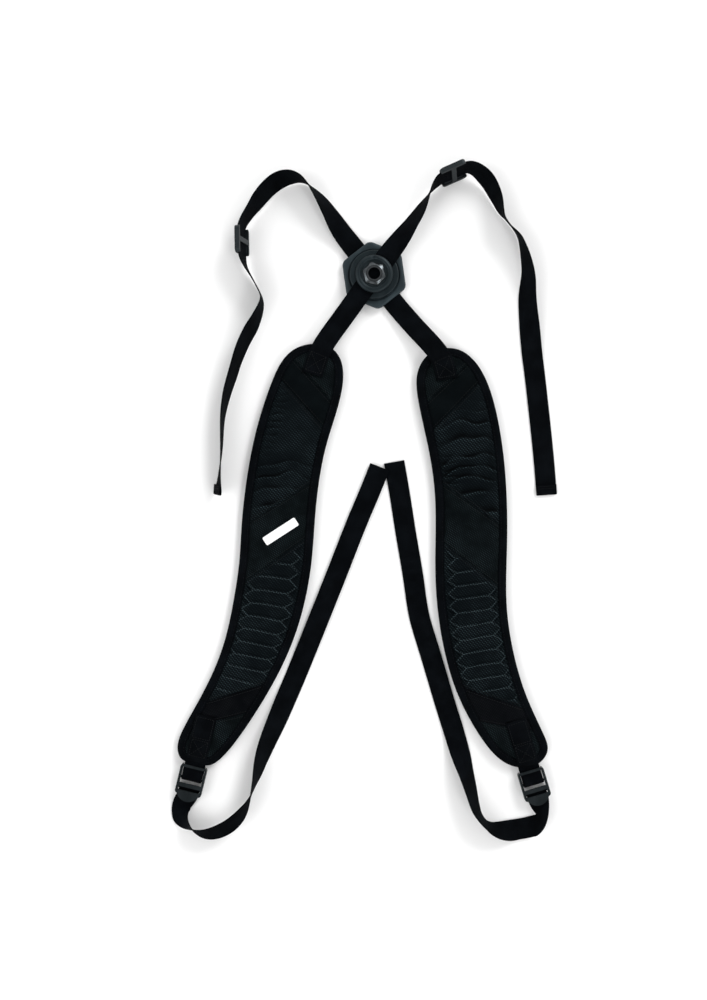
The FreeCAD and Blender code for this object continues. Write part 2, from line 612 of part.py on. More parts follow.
def main():
    os.makedirs("parts", exist_ok=True)
    save("hub_back_cover", hub_back_cover())
    save("hub_plate", hub_plate())
    save("hub_washer", hub_washer())
    save("hub_disc", hub_disc())
    save("hub_cap", hub_cap())
    save("hub_post", hub_post())
    save("hub_nut", hub_nut())
    save("back_webbing", main_webbing(back_webbing_route()))
    save("front_webbing", main_webbing(front_webbing_route()))
    save("lower_strap_left", strap(left_strap_route(), LOCK_LEFT))
    save("lower_strap_right", strap(right_strap_route(), LOCK_RIGHT))
    save("ladder_lock_left", ladder_lock(LOCK_LEFT))
    save("ladder_lock_right", ladder_lock(LOCK_RIGHT))
    save("tri_glide_left", tri_glide(GLIDE_LEFT))
    save("tri_glide_right", tri_glide(GLIDE_RIGHT))
    build_pad("left", PAD_LEFT, SEAMS_LEFT, LOCK_LEFT)
    build_pad("right", PAD_RIGHT, SEAMS_RIGHT, LOCK_RIGHT)
    save("pad_badge_left", badge())


main()
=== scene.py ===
import math

import bpy
import numpy as np
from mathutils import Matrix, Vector
from mathutils.bvhtree import BVHTree


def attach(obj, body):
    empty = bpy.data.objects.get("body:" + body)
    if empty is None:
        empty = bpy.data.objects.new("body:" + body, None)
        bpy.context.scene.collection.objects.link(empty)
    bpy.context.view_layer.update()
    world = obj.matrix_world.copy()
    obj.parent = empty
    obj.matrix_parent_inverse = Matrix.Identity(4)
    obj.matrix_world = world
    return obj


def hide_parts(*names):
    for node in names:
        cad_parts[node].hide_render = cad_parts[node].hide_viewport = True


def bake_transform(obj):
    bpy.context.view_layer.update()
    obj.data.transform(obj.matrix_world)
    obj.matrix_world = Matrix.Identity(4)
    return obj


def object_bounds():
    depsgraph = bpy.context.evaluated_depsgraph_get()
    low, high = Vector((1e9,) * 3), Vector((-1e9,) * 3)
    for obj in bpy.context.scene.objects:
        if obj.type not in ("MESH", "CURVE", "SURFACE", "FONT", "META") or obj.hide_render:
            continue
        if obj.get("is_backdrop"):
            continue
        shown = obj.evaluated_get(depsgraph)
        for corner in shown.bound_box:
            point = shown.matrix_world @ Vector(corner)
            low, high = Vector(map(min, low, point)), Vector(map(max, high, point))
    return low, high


# Double shoulder strap harness lying on its back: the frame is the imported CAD, in metres.
# Sizes in this script are in millimetres until a mesh is made.

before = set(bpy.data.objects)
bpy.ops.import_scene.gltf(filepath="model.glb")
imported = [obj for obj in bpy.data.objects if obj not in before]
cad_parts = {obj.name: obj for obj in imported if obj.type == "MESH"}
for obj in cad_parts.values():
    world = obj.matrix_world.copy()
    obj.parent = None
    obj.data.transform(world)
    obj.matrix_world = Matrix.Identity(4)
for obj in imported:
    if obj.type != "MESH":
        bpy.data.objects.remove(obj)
cad_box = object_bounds()
MM = 0.001

# ------------------------------------------------------------------ sizes shared with the CAD
WEB_WIDTH = 25.0
WEB_THICKNESS = 1.6
WEB_REST_GAP = 0.06
LOCK_LEFT = (-217.8, -595.7, -103.8)
LOCK_RIGHT = (189.0, -600.6, -73.3)
GLIDE_LEFT = (-159.5, 39.5, -89.0, 106.0)
GLIDE_RIGHT = (95.5, 121.0, 24.0, -108.0)
GLIDE_STRAIGHT = 17.0
GLIDE_LIFT = 4.8
PAD_WEB_LIFT = 13.9
BACK_WEB_LIFT = 3.02
FRONT_WEB_LIFT = 12.77
STRAND_LIFT = 5.4
ANCHOR_BAR = (16.4, 4.9, 2.6)      # distance, height, and the loop's middle radius
GRIP_BAR = (29.3, 3.9, 2.3)
BINDING_WIDTH = 9.0


def along(place, distance, aside=0.0):
    turn = math.radians(place[2])
    x = place[0] + distance * math.cos(turn) - aside * math.sin(turn)
    y = place[1] + distance * math.sin(turn) + aside * math.cos(turn)
    return x, y


def straight_run(place, half_length, roll, lift, count=5):
    steps = [half_length * (2.0 * index / (count - 1) - 1.0) for index in range(count)]
    return [along(place, step) + (roll, lift) for step in steps]


# Stations of each webbing: x, y, roll in degrees, height of the lowest edge.
BACK_ROUTE = [(88.0, -127.0, 0, PAD_WEB_LIFT), (82.0, -104.0, 0, PAD_WEB_LIFT),
              (70.0, -86.5, 0, 13.2), (48.5, -62.0, 0, 6.8)]
BACK_ROUTE += straight_run((0.0, 0.0, 126.0), 37.5, 0, BACK_WEB_LIFT, 7)
BACK_ROUTE += [(-39.5, 53.0, 15, 0.6), (-53.0, 74.0, 39, 0.3), (-65.0, 92.0, 57, 0.3),
               (-77.0, 106.0, 77, 0.6), (-85.0, 113.0, 90, 1.0), (-92.5, 116.5, 103, 1.0),
               (-103.0, 117.5, 120, 1.0), (-119.5, 111.5, 134, 1.2), (-138.0, 92.5, 128, 2.4),
               (-150.5, 74.0, 112, 4.2)]
BACK_ROUTE += straight_run(GLIDE_LEFT, GLIDE_STRAIGHT, GLIDE_LEFT[3], GLIDE_LIFT)
BACK_ROUTE += [(-155.5, 9.5, 98, 4.0), (-148.0, -4.0, 92, 1.8), (-141.0, -17.0, 90, 0.5),
               (-136.5, -27.0, 91, 0), (-136.5, -36.0, 99, 0), (-142.0, -51.5, 112, 0),
               (-150.0, -67.0, 122, 0), (-157.0, -80.5, 120, 0), (-163.0, -95.0, 117, 0),
               (-167.5, -108.5, 113, 0), (-171.5, -122.0, 112, 0), (-177.0, -140.0, 108, 0),
               (-181.0, -158.0, 102, 0), (-183.5, -177.0, 95, 0), (-184.5, -207.0, 89, 0),
               (-186.0, -229.0, 83, 0), (-187.5, -247.0, 76, 0), (-188.5, -261.0, 66, 0)]

FRONT_ROUTE = [(-74.5, -121.0, 0, PAD_WEB_LIFT), (-70.0, -106.0, 0, PAD_WEB_LIFT),
               (-62.0, -87.5, 0, PAD_WEB_LIFT), (-38.0, -53.0, 0, 13.4)]
FRONT_ROUTE += straight_run((0.0, 0.0, 54.0), 30.0, 0, FRONT_WEB_LIFT, 5)
FRONT_ROUTE += [(32.5, 44.0, -22, 8.4), (43.5, 59.5, -42, 5.4), (55.0, 76.5, -56, 4.4),
                (64.0, 92.5, -78, 4.4), (71.5, 105.0, -98, 4.7)]
FRONT_ROUTE += straight_run(GLIDE_RIGHT, GLIDE_STRAIGHT, GLIDE_RIGHT[3], GLIDE_LIFT)
FRONT_ROUTE += [(121.5, 126.5, -114, 4.2), (135.5, 115.5, -126, 1.8), (144.0, 102.0, -122, 0.8),
                (149.5, 89.5, -112, 0.5), (152.5, 80.5, -102, 0.4), (155.0, 74.0, -92, 0.4),
                (159.0, 67.0, -80, 0.4), (165.0, 59.0, -77, 0.4), (171.0, 52.0, -82, 0.4),
                (176.0, 44.5, -90, 0.4), (179.5, 35.0, -98, 0.2), (182.0, 26.0, -105, 0),
                (184.0, 17.0, -111, 0), (186.0, 5.0, -119, 0), (186.5, -7.0, -129, 0),
                (186.0, -18.5, -137, 0), (186.0, -31.0, -143, 0), (187.5, -48.5, -151, 0),
                (189.5, -66.5, -162, 0), (192.0, -90.5, -172, 0), (195.0, -113.0, -179, 0),
                (199.5, -151.5, -180, 0), (204.0, -193.0, -180, 0), (208.0, -235.0, -180, 0),
                (210.0, -261.0, -180, 0)]

LEFT_ROUTE = [along(LOCK_LEFT, GRIP_BAR[0]) + (0, STRAND_LIFT),
              along(LOCK_LEFT, 32.5) + (0, 5.1), along(LOCK_LEFT, 36.5) + (0, 4.5),
              along(LOCK_LEFT, 42.5, -1.9) + (0, 3.0),
              (-235.0, -643.5, 0, 1.0), (-235.5, -653.0, 6, 0.2), (-231.5, -661.5, 33, 0),
              (-224.5, -668.5, 60, 0), (-217.5, -673.0, 77, 0), (-210.5, -675.5, 90, 0),
              (-202.0, -676.5, 103, 0), (-193.5, -675.5, 113, 0), (-182.5, -671.5, 120, 0),
              (-171.5, -664.5, 122, 0), (-161.5, -654.5, 117, 0), (-154.5, -644.0, 105, 0),
              (-149.0, -630.5, 90, 0), (-145.0, -617.5, 79, 0), (-141.5, -606.0, 67, 0),
              (-138.5, -594.0, 56, 0), (-134.0, -579.5, 43, 0), (-127.5, -562.5, 31, 0),
              (-118.0, -540.5, 17, 0), (-108.5, -518.0, 6, 0), (-98.0, -493.5, 0, 0),
              (-87.5, -468.0, 0, 0.4), (-77.0, -442.0, 0, 1.6), (-66.0, -414.5, 0, 2.2),
              (-43.5, -358.0, 0, 2.2), (-20.5, -299.5, 0, 2.2), (-5.5, -264.0, 0, 2.2),
              (7.0, -232.5, 0, 2.2)]

RIGHT_ROUTE = [along(LOCK_RIGHT, GRIP_BAR[0]) + (0, STRAND_LIFT),
               along(LOCK_RIGHT, 32.5) + (0, 5.1), along(LOCK_RIGHT, 36.5) + (0, 4.4),
               along(LOCK_RIGHT, 40.5, 0.1) + (1, 2.8), along(LOCK_RIGHT, 44.5, 0.3) + (6, 0.8),
               along(LOCK_RIGHT, 48.5, 0.6) + (34, 0.2), (204.0, -652.0, 60, 0),
               (203.0, -659.5, 66, 0), (198.5, -666.5, 38, 0), (189.5, -671.0, 8, 0),
               (178.0, -673.5, 5, 0), (165.0, -674.5, 24, 0), (153.0, -673.5, 48, 0),
               (143.0, -670.5, 67, 0), (135.0, -665.0, 78, 0), (128.5, -657.0, 74, 0),
               (123.0, -645.5, 63, 0), (117.5, -625.0, 52, 0), (111.5, -603.5, 40, 0),
               (104.0, -578.0, 14, 0), (96.0, -551.0, 2, 0), (87.5, -524.0, 0, 0),
               (66.5, -453.5, 0, 0), (54.5, -411.5, 0, 0), (48.0, -368.5, 0, 0),
               (39.5, -318.0, 0, 0), (32.0, -270.0, 0, 0), (24.5, -226.5, 0, 0)]

PAD_LEFT = [(-74, -84), (-94, -89), (-110, -103), (-124, -131), (-141, -183), (-153, -241),
            (-160, -300), (-163, -346), (-170, -395), (-185, -457), (-212, -516), (-233, -555),
            (-238, -575), (-232, -588), (-217, -592), (-201, -594.5), (-184, -584), (-155, -547),
            (-116, -482), (-91, -420), (-77, -352), (-71, -280), (-60, -212), (-46, -165),
            (-38, -124), (-43, -99), (-56, -87)]
PAD_RIGHT = [(77, -91), (62, -101), (53, -120), (54.5, -153), (67, -212), (75, -275), (75, -346),
             (77.5, -402), (87, -460), (107, -520), (139, -573), (157, -590), (173, -596.5),
             (188, -596), (201, -591), (210, -577), (205, -557), (184, -510), (167, -450),
             (160, -392), (161, -320), (159, -245), (151, -182), (137, -131), (119, -102),
             (99, -90)]
SEAMS_LEFT = [((-100, -100), (-52, -154)), ((-110, -131), (-64, -183)),
              ((-149, -299), (-79, -254)), ((-155, -371), (-78, -316)),
              ((-197, -515), (-122, -492)), ((-201, -542), (-155, -531))]
SEAMS_RIGHT = [((109, -112), (65, -154)), ((126, -132), (75, -185)), ((150, -302), (82, -253)),
               ((150, -378), (84, -324)), ((176, -523), (111, -501)), ((192, -552), (132, -542))]
PANEL_NAMES = ["top_panel", "upper_band", "upper_quilt", "plain_panel", "lower_quilt",
               "lower_band", "end_panel"]
TOP_PANEL, _, UPPER_QUILT, PLAIN_PANEL, LOWER_QUILT, _, END_PANEL = range(len(PANEL_NAMES))

# Each side's webbing end on the pad, the stretch where its lower strap bends with the lock, the
# slant of its quilting, and where its mesh starts to hang loose and where it is gathered.
SIDES = {
    "left": {"outline": PAD_LEFT, "seams": SEAMS_LEFT, "lock": LOCK_LEFT, "route": LEFT_ROUTE,
             "body": "front_harness", "lock_body": "lock_left", "web": "webbing_front",
             "bend": ((-0.205, -0.66, 0), (-0.165, -0.66, 0)), "slant": 0.24, "loose": (125, 100)},
    "right": {"outline": PAD_RIGHT, "seams": SEAMS_RIGHT, "lock": LOCK_RIGHT, "route": RIGHT_ROUTE,
              "body": "back_harness", "lock_body": "lock_right", "web": "webbing_back",
              "bend": ((0.186, -0.66, 0), (0.146, -0.66, 0)), "slant": -0.24, "loose": (60, 150)},
}


# ------------------------------------------------------------------ curves
def cubic(knots, values, at):
    """Natural cubic spline through the values."""
    count = len(knots)
    steps = np.diff(knots)
    rise = np.diff(values, axis=0) / steps[:, None]
    matrix = np.eye(count)
    right = np.zeros((count, values.shape[1]))
    for i in range(1, count - 1):
        matrix[i, i - 1:i + 2] = steps[i - 1], 2 * (steps[i - 1] + steps[i]), steps[i]
        right[i] = 6 * (rise[i] - rise[i - 1])
    bend = np.linalg.solve(matrix, right)
    i = np.clip(np.searchsorted(knots, at, side="right") - 1, 0, count - 2)
    h = steps[i][:, None]
    a = (knots[i + 1] - at)[:, None]
    b = (at - knots[i])[:, None]
    return ((bend[i] * a ** 3 + bend[i + 1] * b ** 3) / (6 * h)
            + (values[i] / h - bend[i] * h / 6) * a + (values[i + 1] / h - bend[i + 1] * h / 6) * b)


def eased(knots, values, at):
    """Values between stations, smooth and without overshoot."""
    values = np.asarray(values, float)
    slopes = np.diff(values) / np.diff(knots)
    before = np.concatenate([slopes[:1], slopes])
    after = np.concatenate([slopes, slopes[-1:]])
    both = before * after
    ends = np.where(both > 0, 2 * both / np.where(both > 0, before + after, 1.0), 0.0)
    i = np.clip(np.searchsorted(knots, at, side="right") - 1, 0, len(slopes) - 1)
    span = knots[i + 1] - knots[i]
    p = (at - knots[i]) / span
    lead = p * (1 - p) ** 2 * ends[i] - p * p * (1 - p) * ends[i + 1]
    return values[i] + (values[i + 1] - values[i]) * p * p * (3 - 2 * p) + span * lead


def unit(vectors):
    return vectors / np.linalg.norm(vectors, axis=-1, keepdims=True)


def lengths(points):
    return np.concatenate([[0.0], np.cumsum(np.linalg.norm(np.diff(points, axis=0), axis=1))])


def sampled(points, length, at):
    """Points of a line at some lengths along it."""
    return np.stack([np.interp(at, length, column) for column in points.T], axis=-1)


def root_spaced(points):
    """Rising parameters, by the root of each step, so close points don't make the curve swing."""
    steps = np.linalg.norm(np.diff(points, axis=0), axis=1)
    return np.concatenate([[0.0], np.cumsum(steps ** 0.5)])


def closed_outline(points, count):
    """Evenly spaced points round a smooth closed outline, and the inward direction at each."""
    ring = np.array(points, float)
    wrap = np.concatenate([ring[-6:], ring, ring[:7]])
    knots = root_spaced(wrap)
    fine = np.linspace(knots[6], knots[6 + len(ring)], 6000)
    line = cubic(knots, wrap, fine)
    length = lengths(line)
    even = np.linspace(0, length[-1], count, endpoint=False)
    xy = sampled(line, length, even)
    tangent = unit(np.roll(xy, -1, axis=0) - np.roll(xy, 1, axis=0))
    return xy, np.stack([-tangent[:, 1], tangent[:, 0]], axis=1)


def route_frames(route, spacing):
    """Middle line and across-the-tape direction, evenly spaced along a route."""
    stations = np.array(route, float)
    knots = root_spaced(stations[:, :2])
    fine = np.linspace(0, knots[-1], 60 * len(route))
    length = lengths(cubic(knots, stations[:, :2], fine))
    even = np.linspace(0, length[-1], int(length[-1] / spacing) + 1)
    at = np.interp(even, length, fine)
    xy = cubic(knots, stations[:, :2], at)
    roll = np.radians(eased(knots, stations[:, 2], at))
    lift = np.maximum(eased(knots, stations[:, 3], at), WEB_REST_GAP)
    height = (0.5 * WEB_WIDTH * np.abs(np.sin(roll)) + 0.5 * WEB_THICKNESS * np.abs(np.cos(roll)))
    centres = np.column_stack([xy, height + lift])
    tangent = unit(np.gradient(centres, axis=0))
    level = unit(np.column_stack([-tangent[:, 1], tangent[:, 0], np.zeros(len(at))]))
    upright = np.cross(tangent, level)
    across = level * np.cos(roll)[:, None] + upright * np.sin(roll)[:, None]
    return centres, across


# ------------------------------------------------------------------ meshes
SPACING = 1.5     # between a webbing's rows
TIGHT_STEP = 0.12                   # a row's smallest forward step before its turn is eased
EASED_REACH = 12.0                  # length eased on each side of a tight turn
EASING_ROUNDS = 80


def make(name, verts, faces, materials, uv=None, smooth=True):
    mesh = bpy.data.meshes.new(name)
    mesh.from_pydata((np.asarray(verts) * MM).tolist(), [], faces)
    for material in materials if isinstance(materials, list) else [materials]:
        mesh.materials.append(material)
    if uv is not None:
        index = np.empty(len(mesh.loops), np.int32)
        mesh.loops.foreach_get("vertex_index", index)
        layer = mesh.uv_layers.new(name="cloth_mm")
        layer.data.foreach_set("uv", np.asarray(uv, np.float32)[index].ravel())
    mesh.polygons.foreach_set("use_smooth", [smooth] * len(mesh.polygons))
    mesh.validate()
    mesh.update()
    piece = bpy.data.objects.new(name, mesh)
    bpy.context.scene.collection.objects.link(piece)
    return piece


def grid_faces(rows, columns, start=0, closed_rows=False, closed_columns=False, flip=False):
    """Quads of a grid of vertices numbered row by row."""
    i = np.arange(rows if closed_rows else rows - 1)[:, None]
    j = np.arange(columns if closed_columns else columns - 1)[None, :]
    down, over = (i + 1) % rows, (j + 1) % columns
    quads = np.stack([i * columns + j, i * columns + over, down * columns + over,
                      down * columns + j], axis=-1).reshape(-1, 4) + start
    return (quads[:, ::-1] if flip else quads).tolist()


def tape_section():
    """Closed section of a woven tape, with rounded edges: offsets across and through."""
    part = np.array([0, 0.18, 0.36, 0.54, 0.7, 0.83, 0.92, 0.97, 0.993, 1.0])
    across = 0.5 * WEB_WIDTH * np.concatenate([-part[:0:-1], part])
    half = 0.5 * WEB_THICKNESS * np.sqrt(1 - (2 * np.abs(across) / WEB_WIDTH) ** 14)
    return (np.concatenate([across, across[-2:0:-1]]),
            np.concatenate([half, -half[-2:0:-1]]))


def eased_turns(lines, tangent):
    """Lines along a tape, relaxed where the inside of a tight turn would run backwards."""
    forward = np.sum(np.diff(lines, axis=0) * tangent[:-1, None], axis=2).min(axis=1)
    reach = 2 * int(EASED_REACH / SPACING) + 1
    share = np.convolve(forward < TIGHT_STEP, np.hanning(reach + 2)[1:-1], mode="same").clip(0, 1)
    for _ in range(int(EASING_ROUNDS / SPACING ** 2)):
        pull = 0.5 * (lines[:-2] + lines[2:]) - lines[1:-1]
        lines[1:-1] += 0.5 * pull * share[1:, None, None]
    return lines


def tape(name, centres, across, ease=False):
    """A webbing swept along a middle line, with a map of millimetres across and along it."""
    tangent = unit(np.gradient(centres, axis=0))
    across = unit(across - tangent * np.sum(across * tangent, axis=1, keepdims=True))
    through = np.cross(tangent, across)
    a, t = tape_section()
    verts = (centres[:, None] + across[:, None] * a[None, :, None]
             + through[:, None] * t[None, :, None])
    verts = (eased_turns(verts, tangent) if ease else verts).reshape(-1, 3)
    rows, columns = len(centres), len(a)
    faces = grid_faces(rows, columns, closed_columns=True, flip=True)
    faces.append(list(range(columns)))
    faces.append(list(range((rows - 1) * columns, rows * columns))[::-1])
    uv = np.column_stack([np.tile(a, rows), np.repeat(lengths(centres), columns)])
    return make(name, verts, faces, webbing_cloth, uv)


def bend_path(place, points):
    """Path in a buckle's upright plane, from (distance, height) points and half turns.
    A turn is (distance, height, radius, from angle, to angle)."""
    line = []
    for part in points:
        if len(part) == 2:
            line.append(part)
        else:
            distance, height, radius, first, last = part
            for angle in np.radians(np.linspace(first, last, 12)):
                line.append((distance + radius * math.cos(angle),
                             height + radius * math.sin(angle)))
    return np.array([along(place, u) + (z,) for u, z in line])


def densify(points, spacing):
    length = lengths(points)
    even = np.linspace(0, length[-1], int(length[-1] / spacing) + 1)
    return sampled(points, length, even)


def level_across(place, count):
    turn = math.radians(place[2])
    return np.tile([-math.sin(turn), math.cos(turn), 0.0], (count, 1))


class Threads:
    """Gathers single stitches, each a short bowed capsule, into one mesh."""

    SHAPE = [(-0.5, 0.25), (-0.42, 0.8), (-0.15, 1.0), (0.15, 1.0), (0.42, 0.8), (0.5, 0.25)]
    ROUND = 6

    def __init__(self):
        self.verts = []
        self.faces = []

    def stitch(self, middle, direction, normal, length, radius):
        side = np.cross(normal, direction)
        start = len(self.verts)
        for x, r in self.SHAPE:
            bow = radius * (1.1 - 6.0 * x * x)
            centre = middle + direction * (x * length) + normal * bow
            for k in range(self.ROUND):
                angle = 2 * math.pi * k / self.ROUND
                self.verts.append(centre + (side * math.cos(angle) + normal * math.sin(angle))
                                  * (radius * r))
        self.faces += grid_faces(len(self.SHAPE), self.ROUND, start, closed_columns=True, flip=True)
        self.faces.append(list(range(start, start + self.ROUND)))
        last = start + (len(self.SHAPE) - 1) * self.ROUND
        self.faces.append(list(range(last, last + self.ROUND))[::-1])

    def line(self, points, normals, pitch, fill=0.74, radius=0.30):
        points = np.asarray(points, float)
        length = lengths(points)
        count = max(int(length[-1] / pitch), 1)
        for index in range(count):
            at = (index + 0.5) * length[-1] / count
            half = 0.5 * fill * pitch
            ends = [sampled(points, length, at + s) for s in (-half, half)]
            middle = 0.5 * (ends[0] + ends[1])
            normal = unit(sampled(normals, length, at))
            direction = unit(ends[1] - ends[0] + 1e-9)
            normal = unit(normal - direction * np.dot(normal, direction))
            self.stitch(middle, direction, normal, fill * pitch, radius)

    def make(self, name, material):
        return make(name, np.array(self.verts), self.faces, material)


# ------------------------------------------------------------------ materials
class Term:
    """A shader value that takes part in sums and products."""

    def __init__(self, graph, socket):
        self.graph, self.socket = graph, socket

    def __add__(self, other):
        return self.graph.math("ADD", self, other)

    def __sub__(self, other):
        return self.graph.math("SUBTRACT", self, other)

    def __rsub__(self, other):
        return self.graph.math("SUBTRACT", other, self)

    def __mul__(self, other):
        return self.graph.math("MULTIPLY", self, other)

    def wave(self, pitch):
        """Sine from 0 to 1 with a pitch in millimetres."""
        swing = self.graph.math("SINE", self * (2 * math.pi / pitch))
        return self.graph.math("MULTIPLY_ADD", swing, 0.5, 0.5)

    def ramp(self, low, high):
        """0 below low, 1 above high, smooth between."""
        return self.graph.node("MapRange", {0: self, 1: low, 2: high},
                               interpolation_type="SMOOTHSTEP")


class Graph:
    """A short way to write a material's nodes."""

    def __init__(self, name):
        self.material = bpy.data.materials.new(name)
        self.material.use_nodes = True
        self.tree = self.material.node_tree
        self.tree.nodes.clear()
        self.shader = self.tree.nodes.new("ShaderNodeBsdfPrincipled")
        out = self.tree.nodes.new("ShaderNodeOutputMaterial")
        self.tree.links.new(self.shader.outputs["BSDF"], out.inputs["Surface"])

    def put(self, socket, value):
        if isinstance(value, Term):
            self.tree.links.new(value.socket, socket)
        else:
            socket.default_value = value

    def node(self, kind, inputs, output=0, **settings):
        node = self.tree.nodes.new("ShaderNode" + kind)
        for key, value in settings.items():
            setattr(node, key, value)
        for key, value in inputs.items():
            self.put(node.inputs[key], value)
        return Term(self, node.outputs[output])

    def math(self, operation, a, b=0.0, c=0.0):
        return self.node("Math", {0: a, 1: b, 2: c}, operation=operation)

    def mix(self, factor, a, b):
        a, b = [c if isinstance(c, Term) else (*c, 1.0) for c in (a, b)]
        return self.node("Mix", {0: factor, 6: a, 7: b}, output=2, data_type="RGBA")

    def noise(self, scale, detail=3.0, roughness=0.55, place=None):
        return self.node("TexNoise", {"Vector": place or self.object_mm(), "Scale": scale,
                                      "Detail": detail, "Roughness": roughness})

    def object_mm(self, turn=0.0, stretch=(1.0, 1.0, 1.0)):
        place = self.node("TexCoord", {}, output="Object")
        scale = tuple(1000.0 * s for s in stretch)
        return self.node("Mapping", {"Vector": place, "Rotation": (0, 0, math.radians(turn)),
                                     "Scale": scale})

    def split(self, vector):
        node = self.tree.nodes.new("ShaderNodeSeparateXYZ")
        self.tree.links.new(vector.socket, node.inputs[0])
        return [Term(self, output) for output in node.outputs]

    def cloth_map(self):
        """Millimetres across and along a tape."""
        return self.split(self.node("UVMap", {}, uv_map="cloth_mm"))[:2]

    def attribute(self, name):
        return self.node("Attribute", {}, output="Fac", attribute_name=name)

    def bump(self, height, distance, strength=0.8, under=None):
        inputs = {"Height": height, "Distance": distance * MM, "Strength": strength}
        if under is not None:
            inputs["Normal"] = under
        return self.node("Bump", inputs)

    def finish(self, colour, rough, specular, **more):
        values = {"Base_Color": colour, "Roughness": rough, "Specular_IOR_Level": specular, **more}
        for key, value in values.items():
            self.put(self.shader.inputs[key.replace("_", " ")], value)
        return self.material


SHEEN = {"Sheen_Weight": 0.002, "Sheen_Roughness": 0.5}


def webbing_material(name, dark, light):
    """Flat woven tape: a fine twill between firm selvedges."""
    g = Graph(name)
    u, v = g.cloth_map()
    edge = g.math("ABSOLUTE", u).ramp(11.0, 11.5)
    weave = (u + v).wave(1.5) * (1.0 - edge) + v.wave(1.1) * edge
    height = weave + u.wave(0.9) * 0.35
    fuzz = g.noise(1.4, 2.0)
    worn = height.ramp(0.45, 1.3) * g.noise(0.045, 4.0).ramp(0.3, 0.75)
    return g.finish(g.mix(worn, dark, light), fuzz.ramp(-1.2, 1.3), 0.018,
                    Normal=g.bump(height, 0.28, under=g.bump(fuzz, 0.12, 0.5)), **SHEEN)


def dotted_mesh_material(name, dark, light):
    """Textured pad cloth: raised floats on a slanting lattice, with painted highlight on the floats
    along stitched ridges and fold crests and in random patches, and painted shade in the folds."""
    g = Graph(name)
    pitch = 3.0
    x, y, _ = g.split(g.object_mm(-42.0))
    floats = x.wave(pitch) * (y + x * 0.5).wave(pitch * 0.8)
    fine = (x - y).wave(0.75)
    fold = g.attribute("fold")
    # painted highlight: random patches, plus the pad's ridge mask along stitched ridges and crests
    painted_highlight = g.noise(0.03).ramp(0.38, 0.68) * 0.30 + g.attribute("ridge") * 0.75
    # the floats' faint own tone plus the painted highlight, dimmed by the painted shade in the
    # folds
    floats_and_painted_glint = floats.ramp(0.40, 0.66) * (painted_highlight + 0.07) * g.math("MULTIPLY_ADD", fold, -0.9, 1.0)
    base = g.mix(fine * 0.5, dark, tuple(2.2 * c for c in dark))
    # painted shade: the base colour darkens in the folds
    base = g.mix(fold, base, tuple(0.4 * c for c in dark))
    return g.finish(g.mix(floats_and_painted_glint, base, light), floats_and_painted_glint.ramp(1.3, -0.9), 0.020,
                    Normal=g.bump(floats + fine * 0.25, 0.3))


def plain_weave_material(name, dark, light, pitch=1.1, turn=35.0, slant=0.0):
    """Plain cloth: over and under yarns, with slight wear."""
    g = Graph(name)
    x, y, _ = g.split(g.object_mm(turn))
    weave = (x + y * slant).wave(pitch) * y.wave(pitch)
    fuzz = g.noise(1.2, 2.0)
    worn = weave.ramp(0.2, 0.9) * g.noise(0.04, 4.0).ramp(0.3, 0.75)
    return g.finish(g.mix(worn, dark, light), fuzz.ramp(-1.3, 1.3), 0.018,
                    Normal=g.bump(weave, 0.22, under=g.bump(fuzz, 0.15, 0.5)), **SHEEN)


def lining_material(name, dark, light):
    """Spacer mesh on the pad's back: rows of small open cells."""
    g = Graph(name)
    cells = g.node("TexVoronoi", {"Vector": g.object_mm(20.0), "Scale": 0.42, "Randomness": 0.25},
                   feature="DISTANCE_TO_EDGE")
    wall = cells.ramp(0.03, 0.22)
    return g.finish(g.mix(wall, light, dark), g.noise(0.05).ramp(-1.0, 1.2), 0.06,
                    Normal=g.bump(wall, 0.5), Sheen_Weight=0.01, Sheen_Roughness=0.5)


def binding_material(name, dark, light):
    """Ribbed edge tape: ribs across the tape."""
    g = Graph(name)
    u, v = g.cloth_map()
    height = v.wave(0.95) + u.wave(0.8) * 0.3
    cloud = g.noise(0.05, 4.0)
    worn = height.ramp(0.5, 1.25) * cloud.ramp(0.3, 0.75)
    return g.finish(g.mix(worn, dark, light), cloud.ramp(-1.6, 1.2), 0.020,
                    Normal=g.bump(height, 0.2), **SHEEN)


def thread_material(name, dark, light):
    g = Graph(name)
    twist = g.noise(1.6, 2.0, place=g.object_mm(45.0, (1.0, 4.0, 1.0)))
    return g.finish(g.mix(twist, dark, light), twist.ramp(-0.8, 1.4), 0.12,
                    Normal=g.bump(twist, 0.08, 0.6))


def plastic_material(name, dark, light, roughness, specular=0.5):
    """Moulded plastic: fine spark-eroded grain, faint flow marks and rubbed spots."""
    g = Graph(name)
    flow = g.noise(0.09, 4.0, place=g.object_mm(30.0, (1.0, 0.25, 1.0)))
    rub = g.noise(0.22, 5.0, 0.65).ramp(0.52, 0.75)
    rough = flow.ramp(0.2, 0.8) * 0.10 + g.math("MULTIPLY_ADD", rub, -0.10, roughness)
    return g.finish(g.mix(flow.ramp(0.3, 0.75), dark, light), rough, specular,
                    Normal=g.bump(g.noise(2.4, 2.0), 0.05, 0.7, g.bump(flow, 0.10, 0.35)),
                    Specular_Tint=(0.76, 0.93, 1.0, 1.0))


def metal_material(name, dark, light, bore=False):
    """Black-plated steel with fine turning marks; black inside its bore."""
    g = Graph(name)
    x, y, z = g.split(g.object_mm())
    radius = g.math("SQRT", x * x + y * y)
    rings = (radius + g.noise(0.5)).wave(0.45)
    tone = g.noise(0.3, 4.0).ramp(0.3, 0.75)
    colour = g.mix(tone, dark, light)
    shine = 1.0
    if bore:
        shine = z.ramp(17.3, 18.1) * radius.ramp(7.22, 7.5)
        colour = g.mix(shine, (0.0015, 0.0017, 0.002), colour)
    return g.finish(colour, g.math("MULTIPLY_ADD", tone, 0.12, 0.16), 0.2, Metallic=shine,
                    Normal=g.bump(rings, 0.02, 0.5))


